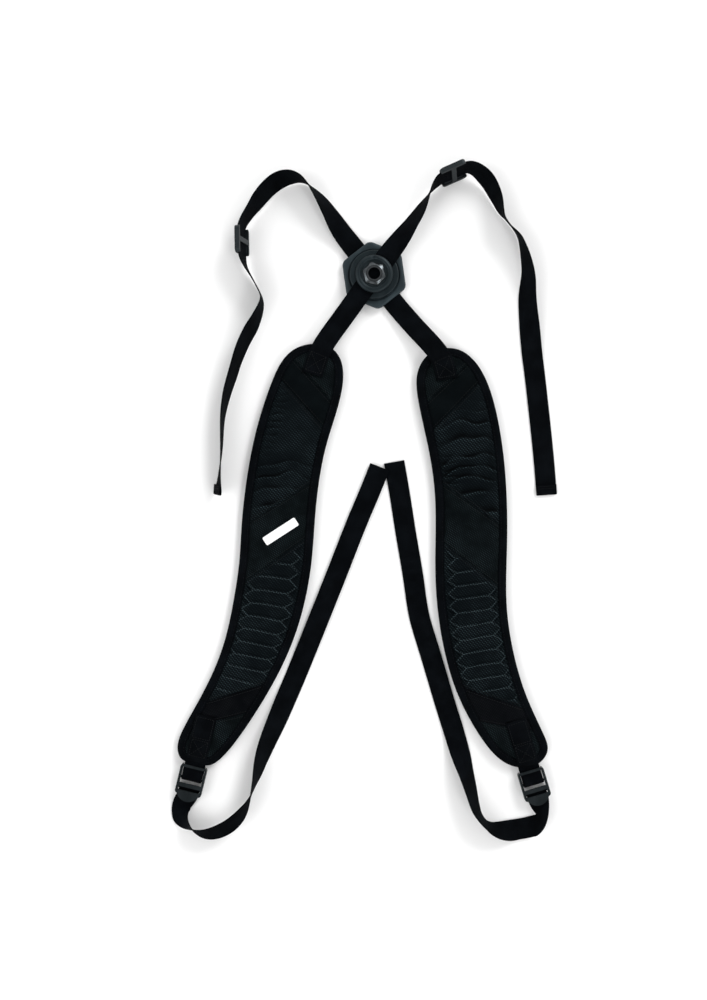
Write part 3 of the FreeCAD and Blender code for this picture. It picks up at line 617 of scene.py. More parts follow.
def print_material(name, colour):
    """Heat-pressed film: off-white with the cloth's weave just showing through."""
    g = Graph(name)
    x, y, _ = g.split(g.object_mm(35.0))
    cloud = g.noise(0.15)
    soiled = tuple(0.86 * c for c in colour)
    return g.finish(g.mix(cloud.ramp(0.45, 0.8), colour, soiled), cloud.ramp(-0.7, 1.6), 0.35,
                    Normal=g.bump(x.wave(1.4) * y.wave(1.4), 0.08, 0.5))


BLACK = (0.0010, 0.0014, 0.0020)
WEAR = (0.0052, 0.0070, 0.0094)
TEAL = (0.0480, 0.0740, 0.0830)

webbing_cloth = webbing_material("woven_tape", BLACK, WEAR)
# The dotted mesh's teal is a faint own tone of its floats, and mostly painted highlight.
mesh_cloth = dotted_mesh_material("dotted_mesh", (0.0010, 0.0019, 0.0025), TEAL)
plain_cloth = plain_weave_material("plain_weave", (0.0012, 0.0021, 0.0026),
                                   (0.0060, 0.0095, 0.0112))
panel_cloth = plain_weave_material("centre_weave", (0.0014, 0.0024, 0.0028), (0.020, 0.031, 0.035),
                                   2.3, slant=0.4)
ribbed_cloth = plain_weave_material("ribbed_weave", BLACK, (0.011, 0.012, 0.014), 1.9, 62.0, 0.8)
lining_cloth = lining_material("spacer_mesh", (0.0035, 0.0040, 0.0046), (0.016, 0.018, 0.020))
binding_cloth = binding_material("edge_tape", BLACK, WEAR)
thread = thread_material("black_thread", (0.0018, 0.0024, 0.0028), (0.0060, 0.0078, 0.0088))
pale_thread = thread_material("grey_thread", (0.018, 0.027, 0.030), (0.044, 0.060, 0.066))
hub_plastic = plastic_material("hub_plastic", (0.0130, 0.0190, 0.0225), (0.0210, 0.0305, 0.0355),
                               0.40, 0.30)
disc_plastic = plastic_material("disc_plastic", (0.0040, 0.0066, 0.0080), (0.0090, 0.0134, 0.0156),
                                0.36, 0.23)
buckle_plastic = plastic_material("buckle_plastic", (0.003, 0.0039, 0.0044),
                                  (0.0075, 0.0092, 0.0102), 0.38, 0.25)
nut_metal = metal_material("nut_metal", (0.055, 0.062, 0.066), (0.085, 0.093, 0.098))
post_metal = metal_material("post_metal", (0.10, 0.11, 0.115), (0.15, 0.16, 0.17), bore=True)
glide_plastic = plastic_material("glide_plastic", (0.004, 0.005, 0.006), (0.009, 0.011, 0.012),
                                 0.40, 0.26)
washer_plastic = plastic_material("washer_plastic", (0.006, 0.007, 0.008),
                                  (0.012, 0.013, 0.014), 0.5)
white_film = print_material("white_film", (0.86, 0.87, 0.87))


# ------------------------------------------------------------------ pads
POINTS_AT_ONCE = 4000


def distance_to(outline, xy):
    """Distance of each point to the outline."""
    out = np.empty(len(xy))
    for start in range(0, len(xy), POINTS_AT_ONCE):
        part = slice(start, start + POINTS_AT_ONCE)
        gap = xy[part][:, None] - outline[None]
        out[part] = np.sqrt(np.min(np.sum(gap * gap, axis=2), axis=1))
    return out


def edge_half_thickness(depth):
    """Half the pad's thickness under the edge tape, at a depth in from the edge."""
    return 4.1 * (1 - np.exp(-(depth + 0.15) / 1.5))


def below_seam(seam, xy):
    (x0, y0), (x1, y1) = seam
    if x1 < x0:
        x0, y0, x1, y1 = x1, y1, x0, y0
    along_x, along_y = unit(np.array([x1 - x0, y1 - y0], float))
    return -along_y * (xy[:, 0] - x0) + along_x * (xy[:, 1] - y0)


class Pad:
    """One pad's plan grid: rows across the pad, from its top end to its bottom end."""

    MIDDLE = 5.7        # height of the rim
    WIDTH = 88.0
    END_GAP = 3.0       # from each end to the first and the last row

    def __init__(self, side, spacing):
        facts = SIDES[side]
        self.side = side
        self.seams = facts["seams"]
        self.slant = facts["slant"]
        self.loose_from, self.gather_at = facts["loose"]
        self.edge, _ = closed_outline(facts["outline"], 1200)
        bottom = int(np.argmax(np.linalg.norm(self.edge - self.edge[0], axis=1)))
        first = self.edge[:bottom + 1]
        second = np.concatenate([self.edge[bottom:], self.edge[:1]])[::-1]
        self.length = 0.5 * (lengths(first)[-1] + lengths(second)[-1])
        self.rows = int(self.length / spacing)
        self.columns = int(self.WIDTH / spacing)
        start = self.END_GAP / self.length
        at = np.linspace(start, 1 - start, self.rows)
        side_a, side_b = [sampled(line, lengths(line), at * lengths(line)[-1])
                          for line in (first, second)]
        across = np.linspace(0, 1, self.columns)
        share = across[None, :, None]
        self.grid = side_a[:, None] * (1 - share) + side_b[:, None] * share
        self.xy = self.grid.reshape(-1, 2)
        self.depth = distance_to(self.edge, self.xy)
        middle = 0.5 * (side_a + side_b)
        self.down = np.repeat(lengths(middle), self.columns)
        width = np.linalg.norm(side_b - side_a, axis=1)
        self.aside = ((across[None, :] - 0.5) * width[:, None]).ravel()

    def panel(self, xy):
        index = np.full(len(xy), len(self.seams))
        for k in reversed(range(len(self.seams))):
            index = np.where(below_seam(self.seams[k], xy) >= 0, k, index)
        return index

    def seam_gap(self, xy):
        """Distance to the nearest panel seam."""
        return np.min([np.abs(below_seam(seam, xy)) for seam in self.seams], axis=0)

    def boundary(self):
        """Vertex numbers round the grid's border, in order."""
        number = np.arange(self.rows * self.columns).reshape(self.rows, self.columns)
        return np.concatenate([number[0], number[1:, -1], number[-1, -2::-1],
                               number[-2:0:-1, 0]]).tolist()

    def closed_faces(self):
        """Top grid, bottom grid and the strip between their borders."""
        count = self.rows * self.columns
        faces = grid_faces(self.rows, self.columns)
        bottom = grid_faces(self.rows, self.columns, count, flip=True)
        ring = self.boundary()
        strip = [[b, a, a + count, b + count] for a, b in zip(ring, ring[1:] + ring[:1])]
        return faces, bottom, strip


SWELL_FRAMES = 20


def puff(pads):
    """Cloth simulation: pressure swells each pad's top between its bound edges.
    Returns each pad's rise, from 0 at the edge to 1 at its fullest."""
    pieces = []
    for pad in pads:
        half = edge_half_thickness(pad.depth)
        top = np.column_stack([pad.xy, pad.MIDDLE + half])
        bottom = np.column_stack([pad.xy, np.full(len(pad.xy), 1.0)])
        faces, under, strip = pad.closed_faces()
        piece = make("puff_" + pad.side, np.concatenate([top, bottom]), faces + under + strip,
                     plain_cloth)
        held = piece.vertex_groups.new(name="held")
        count = len(pad.xy)
        fixed = [i for i in range(count) if pad.depth[i] < BINDING_WIDTH - 1.0]
        held.add(fixed + list(range(count, 2 * count)), 1.0, "REPLACE")
        cloth = piece.modifiers.new("Cloth", "CLOTH")
        settings = cloth.settings
        settings.quality = 6
        settings.mass = 0.25
        settings.tension_stiffness = settings.compression_stiffness = 14
        settings.shear_stiffness = 6
        settings.bending_stiffness = 0.6
        settings.air_damping = 3
        settings.vertex_group_mass = "held"
        settings.use_pressure = True
        settings.uniform_pressure_force = 4
        settings.effector_weights.gravity = 0
        cloth.collision_settings.use_collision = False
        cloth.point_cache.frame_end = SWELL_FRAMES + 2
        pieces.append(piece)
    scene = bpy.context.scene
    scene.frame_end = SWELL_FRAMES + 2
    for step in range(1, SWELL_FRAMES + 1):
        scene.frame_set(step)
    graph = bpy.context.evaluated_depsgraph_get()
    rises = []
    for pad, piece in zip(pads, pieces):
        count = len(pad.xy)
        mesh = piece.evaluated_get(graph).to_mesh()
        co = np.empty(len(mesh.vertices) * 3, np.float32)
        mesh.vertices.foreach_get("co", co)
        rise = co.reshape(-1, 3)[:count, 2] / MM - (pad.MIDDLE + edge_half_thickness(pad.depth))
        full = np.percentile(rise, 97)
        rises.append(np.clip(rise / full, 0, 1.15) if full > 0.05 else domed(pad))
        piece.evaluated_get(graph).to_mesh_clear()
    for piece in pieces:
        bpy.data.objects.remove(piece)
    scene.frame_set(1)
    return rises


def domed(pad):
    """Quick stand-in for the simulation's rise, from the depth alone."""
    part = np.clip((pad.depth - BINDING_WIDTH + 1.0) / 28.0, 0, 1)
    return np.sqrt(1 - (1 - part) ** 2)


def upsample(pad, fine, values):
    """Values of a coarse pad grid at a finer pad grid of the same outline."""
    table = values.reshape(pad.rows, pad.columns)
    i = np.linspace(0, pad.rows - 1, fine.rows)
    j = np.linspace(0, pad.columns - 1, fine.columns)
    rows = np.stack([np.interp(i, np.arange(pad.rows), table[:, k]) for k in range(pad.columns)], 1)
    full = np.stack([np.interp(j, np.arange(pad.columns), row) for row in rows], 0)
    for _ in range(2):
        soft = np.pad(full, 1, mode="edge")
        full = (soft[:-2, 1:-1] + soft[2:, 1:-1] + soft[1:-1, :-2] + soft[1:-1, 2:] + 4 * full) / 8
    return full.ravel()


LENS_PITCH = 16.5           # between the long cells, down the pad
LENS_FLAT = 20.5            # half a cell's straight stretch
LENS_TIP = 31.0             # half a cell's whole length
LENS_SLOPE = 0.5 * LENS_PITCH / (LENS_TIP - LENS_FLAT)
CREASE_PITCH = 17.0         # between the mesh's loose folds
PUCKER_PITCH = 8.7          # between the puckers where the mesh is gathered
FULLNESS = 5.4              # the face's rise where the pad is fullest
CELL_RISE = 1.7             # heights of a cell, of a loose fold and of a pucker
FOLD_RISE = 2.9
PUCKER_RISE = 1.9
SEAM_GROOVE = 1.5           # a panel seam's depth
SEAM_STITCH = 2.6           # from a panel seam to the stitches on both sides of it
EDGE_SEAM = 7.3             # the edge tape's stitches, in from the rim


def hump(value, width, middle=0.0):
    """1 at the middle, falling smoothly to 0 on both sides."""
    return np.exp(-((value - middle) / width) ** 2)


def ridge_split(aside):
    """How far the sewn ridges part towards a cell's tips."""
    return np.clip(LENS_SLOPE * (np.abs(aside) - LENS_FLAT), 0, 0.5 * LENS_PITCH)


def lens_gap(down, aside):
    """Distance to the nearest sewn ridge of a stack of long six-sided cells, the side of the
    ridge a point is on, and 1 in the small hollows between the cells' tips."""
    part = (down / LENS_PITCH) % 1.0 - 0.5
    level = part * LENS_PITCH
    split = ridge_split(aside)
    slant = np.where(split > 0, 1 / math.sqrt(1 + LENS_SLOPE * LENS_SLOPE), 1.0)
    gap = np.abs(np.abs(level) - split) * slant
    hollow = np.clip((split - np.abs(level)) / 2.2, 0, 1)
    return gap, np.sign(level), hollow


def fold_share(down, pitch):
    """Place between one crease, 0, and the next one down the pad, 1."""
    return (down / pitch) % 1.0


def fold_rise(share):
    """Height of a soft fold: steep below its crease, then sagging to the next one."""
    return (1 - np.exp(-share / 0.07)) * (1 - np.exp((share - 1) / 0.05)) * (1 - 0.7 * share)


def ripple(x, y, seed, scale):
    """Smooth seeded waviness, about -1 to 1."""
    source = np.random.default_rng(seed)
    total = np.zeros(len(x))
    for _ in range(7):
        angle = source.uniform(0, 2 * math.pi)
        turn = source.uniform(0.6, 1.7) * 2 * math.pi / scale
        total += np.sin(turn * (x * math.cos(angle) + y * math.sin(angle))
                        + source.uniform(0, 2 * math.pi))
    return total / 3.2


def wander(xy):
    """How far the quilting strays down the pad."""
    return 1.1 * ripple(*xy.T, 5, 90.0)


PRESS_MARGIN = 3.0          # beside a tape, where the face rises again


def pressed(xy, centres, across):
    """1 under a tape and 0 away from it, for pressing a pad's face down."""
    gap = xy[:, None] - centres[None, :, :2]
    side = np.abs(np.sum(gap * across[None, :, :2], axis=2))
    tangent = unit(np.gradient(centres[:, :2], axis=0))
    lengthwise = np.abs(np.sum(gap * tangent[None], axis=2))
    beside = np.where(lengthwise < 2.5, side, 1e3).min(axis=1)
    return np.clip((0.5 * WEB_WIDTH + PRESS_MARGIN - beside) / PRESS_MARGIN, 0, 1)


def pad_surface(pad, rise, tapes):
    """Height of the pad's face; how close each point is to a raised line, a mask for painted
    highlight; and how close it is to a crease, a mask for painted shade.
    """
    xy, depth = pad.xy, pad.depth
    x, y = xy.T
    index = pad.panel(xy)
    height = pad.MIDDLE + edge_half_thickness(depth) + FULLNESS * rise
    inside = np.clip((depth - BINDING_WIDTH + 0.5) / 6.0, 0, 1)
    seam_gap = pad.seam_gap(xy)
    clear = inside * np.clip((seam_gap - 1.0) / 4.0, 0, 1)

    # quilted cells
    bent = pad.down + pad.slant * pad.aside + wander(xy)
    gap, side_of, hollow = lens_gap(bent, pad.aside)
    lens = clear * (index == LOWER_QUILT)
    edge_fade = np.clip((LENS_TIP + 6.0 - np.abs(pad.aside)) / 6.0, 0, 1)
    height += lens * edge_fade * (CELL_RISE * (1 - hump(gap, 3.6)) - 0.7 + 1.3 * hump(gap, 1.3)
                                  - 1.1 * hump(gap, 1.2, 2.4) * (side_of < 0) - 1.5 * hollow)
    # painted highlight along the sewn ridges of the cells
    ridge = lens * edge_fade * hump(gap, 1.1) * (1 - hollow)

    # loose folds in the mesh above them
    upper = clear * (index == UPPER_QUILT)
    arched = bent + 8.0 * (1 - (pad.aside / 34.0) ** 2) + 3.0 * ripple(x, y, 41, 52.0)
    share = fold_share(arched + 3.0 * np.sin(arched / 12.4), CREASE_PITCH)
    loose = upper * np.clip((pad.down - pad.loose_from) / 45, 0, 1) * np.clip(
        0.72 + 0.5 * ripple(x, y, 43, 44.0), 0.15, 1)
    height += loose * (FOLD_RISE * fold_rise(share) - 1.4)
    # painted highlight on the crest just below each crease
    ridge += 0.95 * loose * hump(share, 0.07, 0.12)
    # painted shade in each crease and on the slope just above the next one
    fold = 1.2 * loose * (hump(share, 0.045) + hump(1 - share, 0.24))

    # puckers gathered at the mesh's left edge
    gathered = (upper * np.clip((-pad.aside - 12) / 8, 0, 1)
                * np.clip(1 - np.abs(pad.down - pad.gather_at) / 55, 0, 1))
    share = fold_share(bent + 2.0 * ripple(x, y, 44, 30.0), PUCKER_PITCH)
    height += gathered * (PUCKER_RISE * fold_rise(share) - 0.9)
    # painted highlight on each pucker's crest
    ridge += 0.6 * gathered * hump(share, 0.10, 0.18)
    # painted shade on the slope just above the next pucker
    fold += 1.2 * gathered * hump(1 - share, 0.20)

    # slack cloth, seams, the bound edge and its puckers
    slack = inside * np.isin(index, (TOP_PANEL, END_PANEL)) + 0.35 * inside * (index == PLAIN_PANEL)
    height += 0.75 * slack * ripple(x + 0.5 * y, 0.4 * y - 0.2 * x, 45, 21.0)
    height -= inside * SEAM_GROOVE * hump(seam_gap, 1.7)
    height += inside * 0.5 * np.clip(1 - seam_gap / 9.0, 0, 1) * ripple(x, y, 11, 13.0)
    height += 0.30 * inside * ripple(x, y, 3, 34.0)
    height -= 0.9 * np.exp(-((depth - BINDING_WIDTH - 0.6) / 1.6) ** 2)
    height += 0.35 * hump(depth, 5.0, 12.0) * np.sin(2 * math.pi * pad.down / 8.6
                                                     + 2.0 * ripple(x, y, 8, 60.0))
    for centres, across, limit in tapes:
        gap = np.linalg.norm(xy[:, None] - centres[None, ::4, :2], axis=2)
        reach = np.min(gap, axis=1) < 40
        press = np.zeros(len(xy))
        press[reach] = pressed(xy[reach], centres, across)
        height = height * (1 - press) + np.minimum(height, limit) * press
    return height, np.clip(ridge, 0, 1), np.clip(fold, 0, 1)


def build_cushion(pad, rise, tapes):
    """Closed cushion: quilted face, rounded bound sides and a flat spacer-mesh back."""
    height, ridge, fold = pad_surface(pad, rise, tapes)
    top = np.column_stack([pad.xy, height])
    flat = pad.MIDDLE - edge_half_thickness(pad.depth)
    sunk = np.clip((pad.depth - BINDING_WIDTH + 1) / 5, 0, 1)
    back = flat * (1 - sunk) + 0.35 * sunk
    back += sunk * 0.22 * (1 + ripple(*pad.xy.T, 21, 40.0))
    bottom = np.column_stack([pad.xy, np.maximum(back, 0.25)])
    faces, under, strip = pad.closed_faces()
    cloths = [panel_cloth, plain_cloth, mesh_cloth, panel_cloth, mesh_cloth, ribbed_cloth,
              panel_cloth, lining_cloth]
    piece = make("pad_cushion_" + pad.side, np.concatenate([top, bottom]), faces + under + strip,
                 cloths)
    quads = np.array(faces)
    index = pad.panel(pad.xy[quads].mean(axis=1))
    slots = np.concatenate([index, np.full(len(under), 7), np.zeros(len(strip), int)])
    piece.data.polygons.foreach_set("material_index", slots.astype(np.int32))
    # ridge and fold are the masks for the dotted mesh's painted highlight and painted shade
    for key, values in (("ridge", ridge), ("fold", fold)):
        mark = piece.data.attributes.new(key, "FLOAT", "POINT")
        mark.data.foreach_set("value", np.pad(values, (0, len(values))).astype(np.float32))
    return piece


def surface_tree(piece):
    mesh = piece.data
    return BVHTree.FromPolygons([v.co[:] for v in mesh.vertices],
                                [p.vertices[:] for p in mesh.polygons])


RAY_START = 0.2             # metres, above everything


def drape(tree, xy, lift=0.0):
    """Points and normals on the surface under the given plan points, in millimetres."""
    points, normals = [], []
    for x, y in xy:
        hit, normal, _, _ = tree.ray_cast(Vector((x * MM, y * MM, RAY_START)), Vector((0, 0, -1)))
        if hit is None:
            hit, normal = Vector((x * MM, y * MM, 0.01)), Vector((0, 0, 1))
        normal = np.array(normal)
        if normal[2] < 0:
            normal = -normal
        points.append(np.array(hit) / MM + normal * lift)
        normals.append(normal)
    return np.array(points), np.array(normals)


def smooth_line(values, times):
    for _ in range(times):
        values[1:-1] = 0.25 * values[:-2] + 0.5 * values[1:-1] + 0.25 * values[2:]
    return values


def build_binding(pad):
    """Edge tape folded round the pad's rim, drawn in along its stitches."""
    edge, inward = closed_outline(SIDES[pad.side]["outline"], 900)
    depths = np.array([9.0, 9.1, 8.6, 7.8, 7.3, 6.8, 5.6, 4.0, 2.6, 1.5, 0.7, 0.15])
    sew = hump(depths, 0.55, EDGE_SEAM) * 0.4
    half = edge_half_thickness(depths) + 0.95 - sew
    half[0] -= 0.95
    out = depths - 0.25 * np.exp(-depths / 0.8)
    profile = [(d, pad.MIDDLE + h) for d, h in zip(out, half)]
    profile += [(d, pad.MIDDLE - h) for d, h in zip(out[::-1], half[::-1])]
    profile = np.array(profile)
    count = len(edge)
    step = lengths(np.concatenate([edge, edge[:1]]))
    pucker = np.sin(2 * math.pi * step[:-1] / 6.3 + 1.5 * ripple(*edge.T, 31, 70.0))
    pucker += 0.6 * ripple(*edge.T, 32, 25.0)
    weight = hump(profile[:, 0], 3.0, 6.5) * np.sign(profile[:, 1] - pad.MIDDLE)
    verts = np.empty((count, len(profile), 3))
    verts[:, :, :2] = edge[:, None] + inward[:, None] * profile[None, :, :1]
    verts[:, :, 2] = profile[None, :, 1] + 0.16 * pucker[:, None] * weight[None]
    verts[:, :, 2] = np.maximum(verts[:, :, 2], 0.4)
    faces = grid_faces(count, len(profile), closed_rows=True, flip=True)
    around = lengths(profile)
    uv = np.column_stack([np.tile(around, count), np.repeat(step[:-1], len(profile))])
    piece = make("edge_tape_" + pad.side, verts.reshape(-1, 3), faces, binding_cloth, uv)
    solid = piece.modifiers.new("Solidify", "SOLIDIFY")
    solid.thickness = 0.5 * MM
    solid.offset = -1
    piece["flat_width"], piece["flat_length"] = float(around[-1]), float(step[-1])
    # The map's last row must not run back to zero across the joint.
    layer = piece.data.uv_layers["cloth_mm"]
    rows = np.empty(len(piece.data.loops) * 2, np.float32)
    layer.data.foreach_get("uv", rows)
    rows = rows.reshape(-1, 4, 2)
    wraps = (rows[:, :, 1].max(axis=1) - rows[:, :, 1].min(axis=1)) > 50
    low = rows[wraps][:, :, 1]
    low[low < 50] += step[-1]
    rows[wraps, :, 1] = low
    layer.data.foreach_set("uv", rows.ravel())
    return piece


def clip_line(pad, seam, shift):
    """Straight stitch line beside a seam, kept inside the edge tape."""
    (x0, y0), (x1, y1) = seam
    run = unit(np.array([x1 - x0, y1 - y0], float))
    side = np.array([-run[1], run[0]])
    start = np.array([x0, y0]) + side * shift
    line = start + run * np.linspace(-60, 140, 401)[:, None]
    closed = np.concatenate([pad.edge, pad.edge[:1]])
    return line[inside_outline(closed, line)
                & (distance_to(pad.edge, line) > BINDING_WIDTH + 0.6)]


def inside_outline(closed, points):
    inside = np.zeros(len(points), bool)
    for (x0, y0), (x1, y1) in zip(closed, closed[1:]):
        crosses = (y0 > points[:, 1]) != (y1 > points[:, 1])
        if not crosses.any():
            continue
        at = (x1 - x0) * (points[:, 1] - y0) / (y1 - y0 + 1e-12) + x0
        inside ^= crosses & (points[:, 0] < at)
    return inside


def sew_pad(pad, face, binding):
    """Stitches along the edge tape and beside each panel seam."""
    threads = Threads()
    edge, inward = closed_outline(SIDES[pad.side]["outline"], 800)
    ring = edge + inward * EDGE_SEAM
    ring = np.concatenate([ring, ring[:1]])
    threads.line(*drape(surface_tree(binding), ring, 0.16), pitch=3.4)
    for seam in pad.seams:
        for shift in (-SEAM_STITCH, SEAM_STITCH):
            line = clip_line(pad, seam, shift)
            if len(line) > 12:
                threads.line(*drape(face, line, 0.06), pitch=3.2, radius=0.26)
    return threads.make("pad_stitches_" + pad.side, thread)


def plan_point(pad, down, aside):
    """Plan position of a place given by distances down and across the pad."""
    middle = pad.down.reshape(pad.rows, pad.columns)[:, 0]
    width = -2 * pad.aside.reshape(pad.rows, pad.columns)[:, 0]
    row = np.interp(down, middle, np.arange(pad.rows))
    column = (aside / np.interp(row, np.arange(pad.rows), width) + 0.5) * (pad.columns - 1)
    low = np.clip(row.astype(int), 0, pad.rows - 2)
    left = np.clip(column.astype(int), 0, pad.columns - 2)
    a, b = (row - low)[:, None], (column - left)[:, None]
    grid = pad.grid
    return ((grid[low, left] * (1 - b) + grid[low, left + 1] * b) * (1 - a)
            + (grid[low + 1, left] * (1 - b) + grid[low + 1, left + 1] * b) * a)


def sew_quilting(pad, face):
    """Pale stitches on the ridges between the long cells."""
    threads = Threads()
    aside = np.linspace(-LENS_TIP + 1.5, LENS_TIP - 1.5, 90)
    split = ridge_split(aside)
    for k in range(int(pad.down.max() / LENS_PITCH)):
        for sign in (-1, 1):
            sewn = (np.abs(aside) > LENS_FLAT) | (sign < 0)
            down = (k + 0.5) * LENS_PITCH + sign * split - pad.slant * aside
            xy = plan_point(pad, down, aside)
            xy = plan_point(pad, down - wander(xy), aside)
            sewn = (sewn & (pad.panel(xy) == LOWER_QUILT) & (pad.seam_gap(xy) > 4.5)
                    & (distance_to(pad.edge, xy) > BINDING_WIDTH + 1.5))
            changes = np.flatnonzero(np.diff(sewn.astype(int))) + 1
            for run in np.split(np.arange(len(sewn)), changes):
                if sewn[run[0]] and len(run) > 5:
                    points, normals = drape(face, xy[run])
                    points[:, 2] = smooth_line(points[:, 2], 5) + 0.12
                    normals[:] = (0.0, 0.0, 1.0)
                    threads.line(points, normals, pitch=2.9, fill=0.66, radius=0.27)
    return threads.make("quilt_stitches_" + pad.side, pale_thread)


STITCH_LIFT = 0.5 * WEB_THICKNESS + 0.02


def box_stitch(threads, centres, across, start, end, half, cross=True):
    """Sewn box, with a cross in it or without, on a tape's upper face."""
    length = lengths(centres)
    tangent = unit(np.gradient(centres, axis=0))
    through = np.cross(tangent, across)
    upward = np.where(through[:, 2:] < 0, -through, through)

    def point(at, aside):
        centre, side, normal = [sampled(table, length, at) for table in (centres, across, upward)]
        return centre + unit(side) * aside + unit(normal) * STITCH_LIFT, unit(normal)

    corners = [(start, -half), (start, half), (end, half), (end, -half)]
    runs = list(zip(corners, corners[1:] + corners[:1]))
    if cross:
        runs += [(corners[0], corners[2]), (corners[1], corners[3])]
    for (s0, w0), (s1, w1) in runs:
        points, normals = zip(*[point(s0 + (s1 - s0) * k, w0 + (w1 - w0) * k)
                                for k in np.linspace(0, 1, 24)])
        threads.line(np.array(points), np.array(normals), pitch=2.6, radius=0.27)


# ------------------------------------------------------------------ webbings
def end_frame(centres, across):
    """Forward, sideways and upper-face directions at a tape's last point."""
    tangent = unit(centres[-1] - centres[-4])
    side = unit(across[-1])
    through = np.cross(tangent, side)
    return tangent, side, -through if through[2] < 0 else through


HEM_RUN_ON = 4.4
HEM_FOLD_BACK = 11.0


def folded_end(centres, across):
    """Runs the tape on a little and folds it back over its upper face, as a hem."""
    tangent, side, through = end_frame(centres, across)
    radius = 0.5 * WEB_THICKNESS + 0.1
    run = [centres[-1] + tangent * step for step in np.linspace(1.0, HEM_RUN_ON, 5)]
    middle = run[-1] + through * radius
    for angle in np.radians(np.linspace(-75, 90, 8)):
        run.append(middle + tangent * radius * math.cos(angle) + through * radius * math.sin(angle))
    upper = middle + through * radius
    run += [upper - tangent * step for step in np.linspace(1.0, HEM_FOLD_BACK, 8)]
    return np.concatenate([centres, run]), np.concatenate([across, np.tile(side, (len(run), 1))])


def enter(piece, body, slot, *nodes):
    """Puts a piece on its body and hides the CAD nodes it stands for. The slot is not used."""
    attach(piece, body)
    if nodes:
        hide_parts(*nodes)


def tape_sheet(piece, line, held, **more):
    lengths(line)[-1] * MM


def enter_bending(piece, node, bend):
    """Bakes a strap's placement into its mesh and hides the CAD node it stands for. The bend places
    are not used.
    """
    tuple(bend[0])
    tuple(bend[1])
    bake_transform(piece)
    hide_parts(node)


GRIP_TAIL = 10.0            # sewn tail below the grip bar
LOOP_END = -16.0            # end of the anchor loop, inside the pad
LOOP_BEND = (-6.0, 0.0)     # stretch of the anchor loop that bends

webs = {}
for name, route, node, body in (("webbing_back", BACK_ROUTE, "back_webbing", "back_harness"),
                                ("webbing_front", FRONT_ROUTE, "front_webbing", "front_harness")):
    webs[name] = route_frames(route, SPACING)
    hemmed_centres, hemmed_across = folded_end(*webs[name])
    piece = tape(name, hemmed_centres, hemmed_across)
    enter(piece, body, "webbing", node)
    tape_sheet(piece, hemmed_centres, "laid")

for side, facts in SIDES.items():
    place = facts["lock"]
    distance, height, radius = GRIP_BAR
    centres, across = route_frames(facts["route"], SPACING)
    turn = densify(bend_path(place, [(distance + GRIP_TAIL, height - radius),
                                     (distance, height - radius),
                                     (distance, height, radius, -100, -255)]), 0.6)
    strand = np.concatenate([turn, centres[1:]])
    across = np.concatenate([level_across(place, len(turn)), across[1:]])
    piece = tape("strap_lower_" + side, strand, across, ease=True)
    enter_bending(piece, "lower_strap_" + side,
                  facts["bend"])
    tape_sheet(piece, strand, "laid")

    distance, height, radius = ANCHOR_BAR
    loop = densify(bend_path(place, [(LOOP_END, height + radius), (distance, height + radius),
                                     (distance, height, radius, 80, -80),
                                     (distance, height - radius),
                                     (LOOP_END, height - radius)]), 0.8)
    piece = tape("anchor_strap_" + side, loop, level_across(place, len(loop)))
    bend = [(*[c * MM for c in along(place, u)], 0.005) for u in LOOP_BEND]
    enter_bending(piece, "anchor_loop_" + side, bend)
    tape_sheet(piece, loop, "folded", rests_on=["ladder_lock_" + side])

# ------------------------------------------------------------------ pads, patches and stitches
COARSE_SPACING = 4.0        # between a pad grid's points, for the simulation and for the mesh
FINE_SPACING = 1.03
coarse = [Pad(side, COARSE_SPACING) for side in SIDES]
rises = puff(coarse)
WEB_PRESS = 13.72           # height of the face under the webbing, and under the patch
PATCH_PRESS = 13.4
PATCH_ENDS = (-63, -9)      # from the pad's bottom end, along the line of the lock
PATCH_LIFT = 0.85
WEB_BOX = (3.0, 25.0, 9.8)  # start, end and half width of a sewn box, and whether it is crossed
PATCH_BOXES = ((2.4, 27.5, 10.4, False), (30.0, 50.5, 9.8, True))
for pad, rise in zip(coarse, rises):
    side = pad.side
    body, place = SIDES[side]["body"], SIDES[side]["lock"]
    fine = Pad(side, FINE_SPACING)
    centres, across = webs[SIDES[side]["web"]]
    over = lengths(centres) < 50
    patch_line = np.array([along(place, u) + (0.0,) for u in np.linspace(*PATCH_ENDS, 55)])
    patch_across = level_across(place, len(patch_line))
    tapes = [(centres[over], across[over], WEB_PRESS), (patch_line, patch_across, PATCH_PRESS)]
    cushion = build_cushion(fine, upsample(pad, fine, rise), tapes)
    enter(cushion, body, "quilted_mesh", "pad_foam_" + side, "pad_lining_" + side,
          *["pad_" + panel + "_" + side for panel in PANEL_NAMES])
    binding = build_binding(fine)
    enter(binding, body, "edge_tape", "pad_binding_" + side)
    binding["flat_width"] * MM
    binding["flat_length"] * MM

    face = surface_tree(cushion)
    points, _ = drape(face, patch_line[:, :2])
    patch = np.column_stack([patch_line[:, :2], smooth_line(points[:, 2], 6) + PATCH_LIFT])
    patch_piece = tape("anchor_patch_sewn_" + side, patch, patch_across)
    enter(patch_piece, body, "webbing", "anchor_patch_" + side)
    tape_sheet(patch_piece, patch, "laid", rests_on=[cushion])

    enter(sew_pad(fine, face, binding), body, "webbing")
    enter(sew_quilting(fine, face), body, "quilted_mesh")
    boxes = Threads()
    box_stitch(boxes, centres, across, *WEB_BOX)
    for box in PATCH_BOXES:
        box_stitch(boxes, patch, patch_across, *box)
    enter(boxes.make("box_stitches_" + side, thread), body, "webbing")
    SIDES[side]["face"] = face


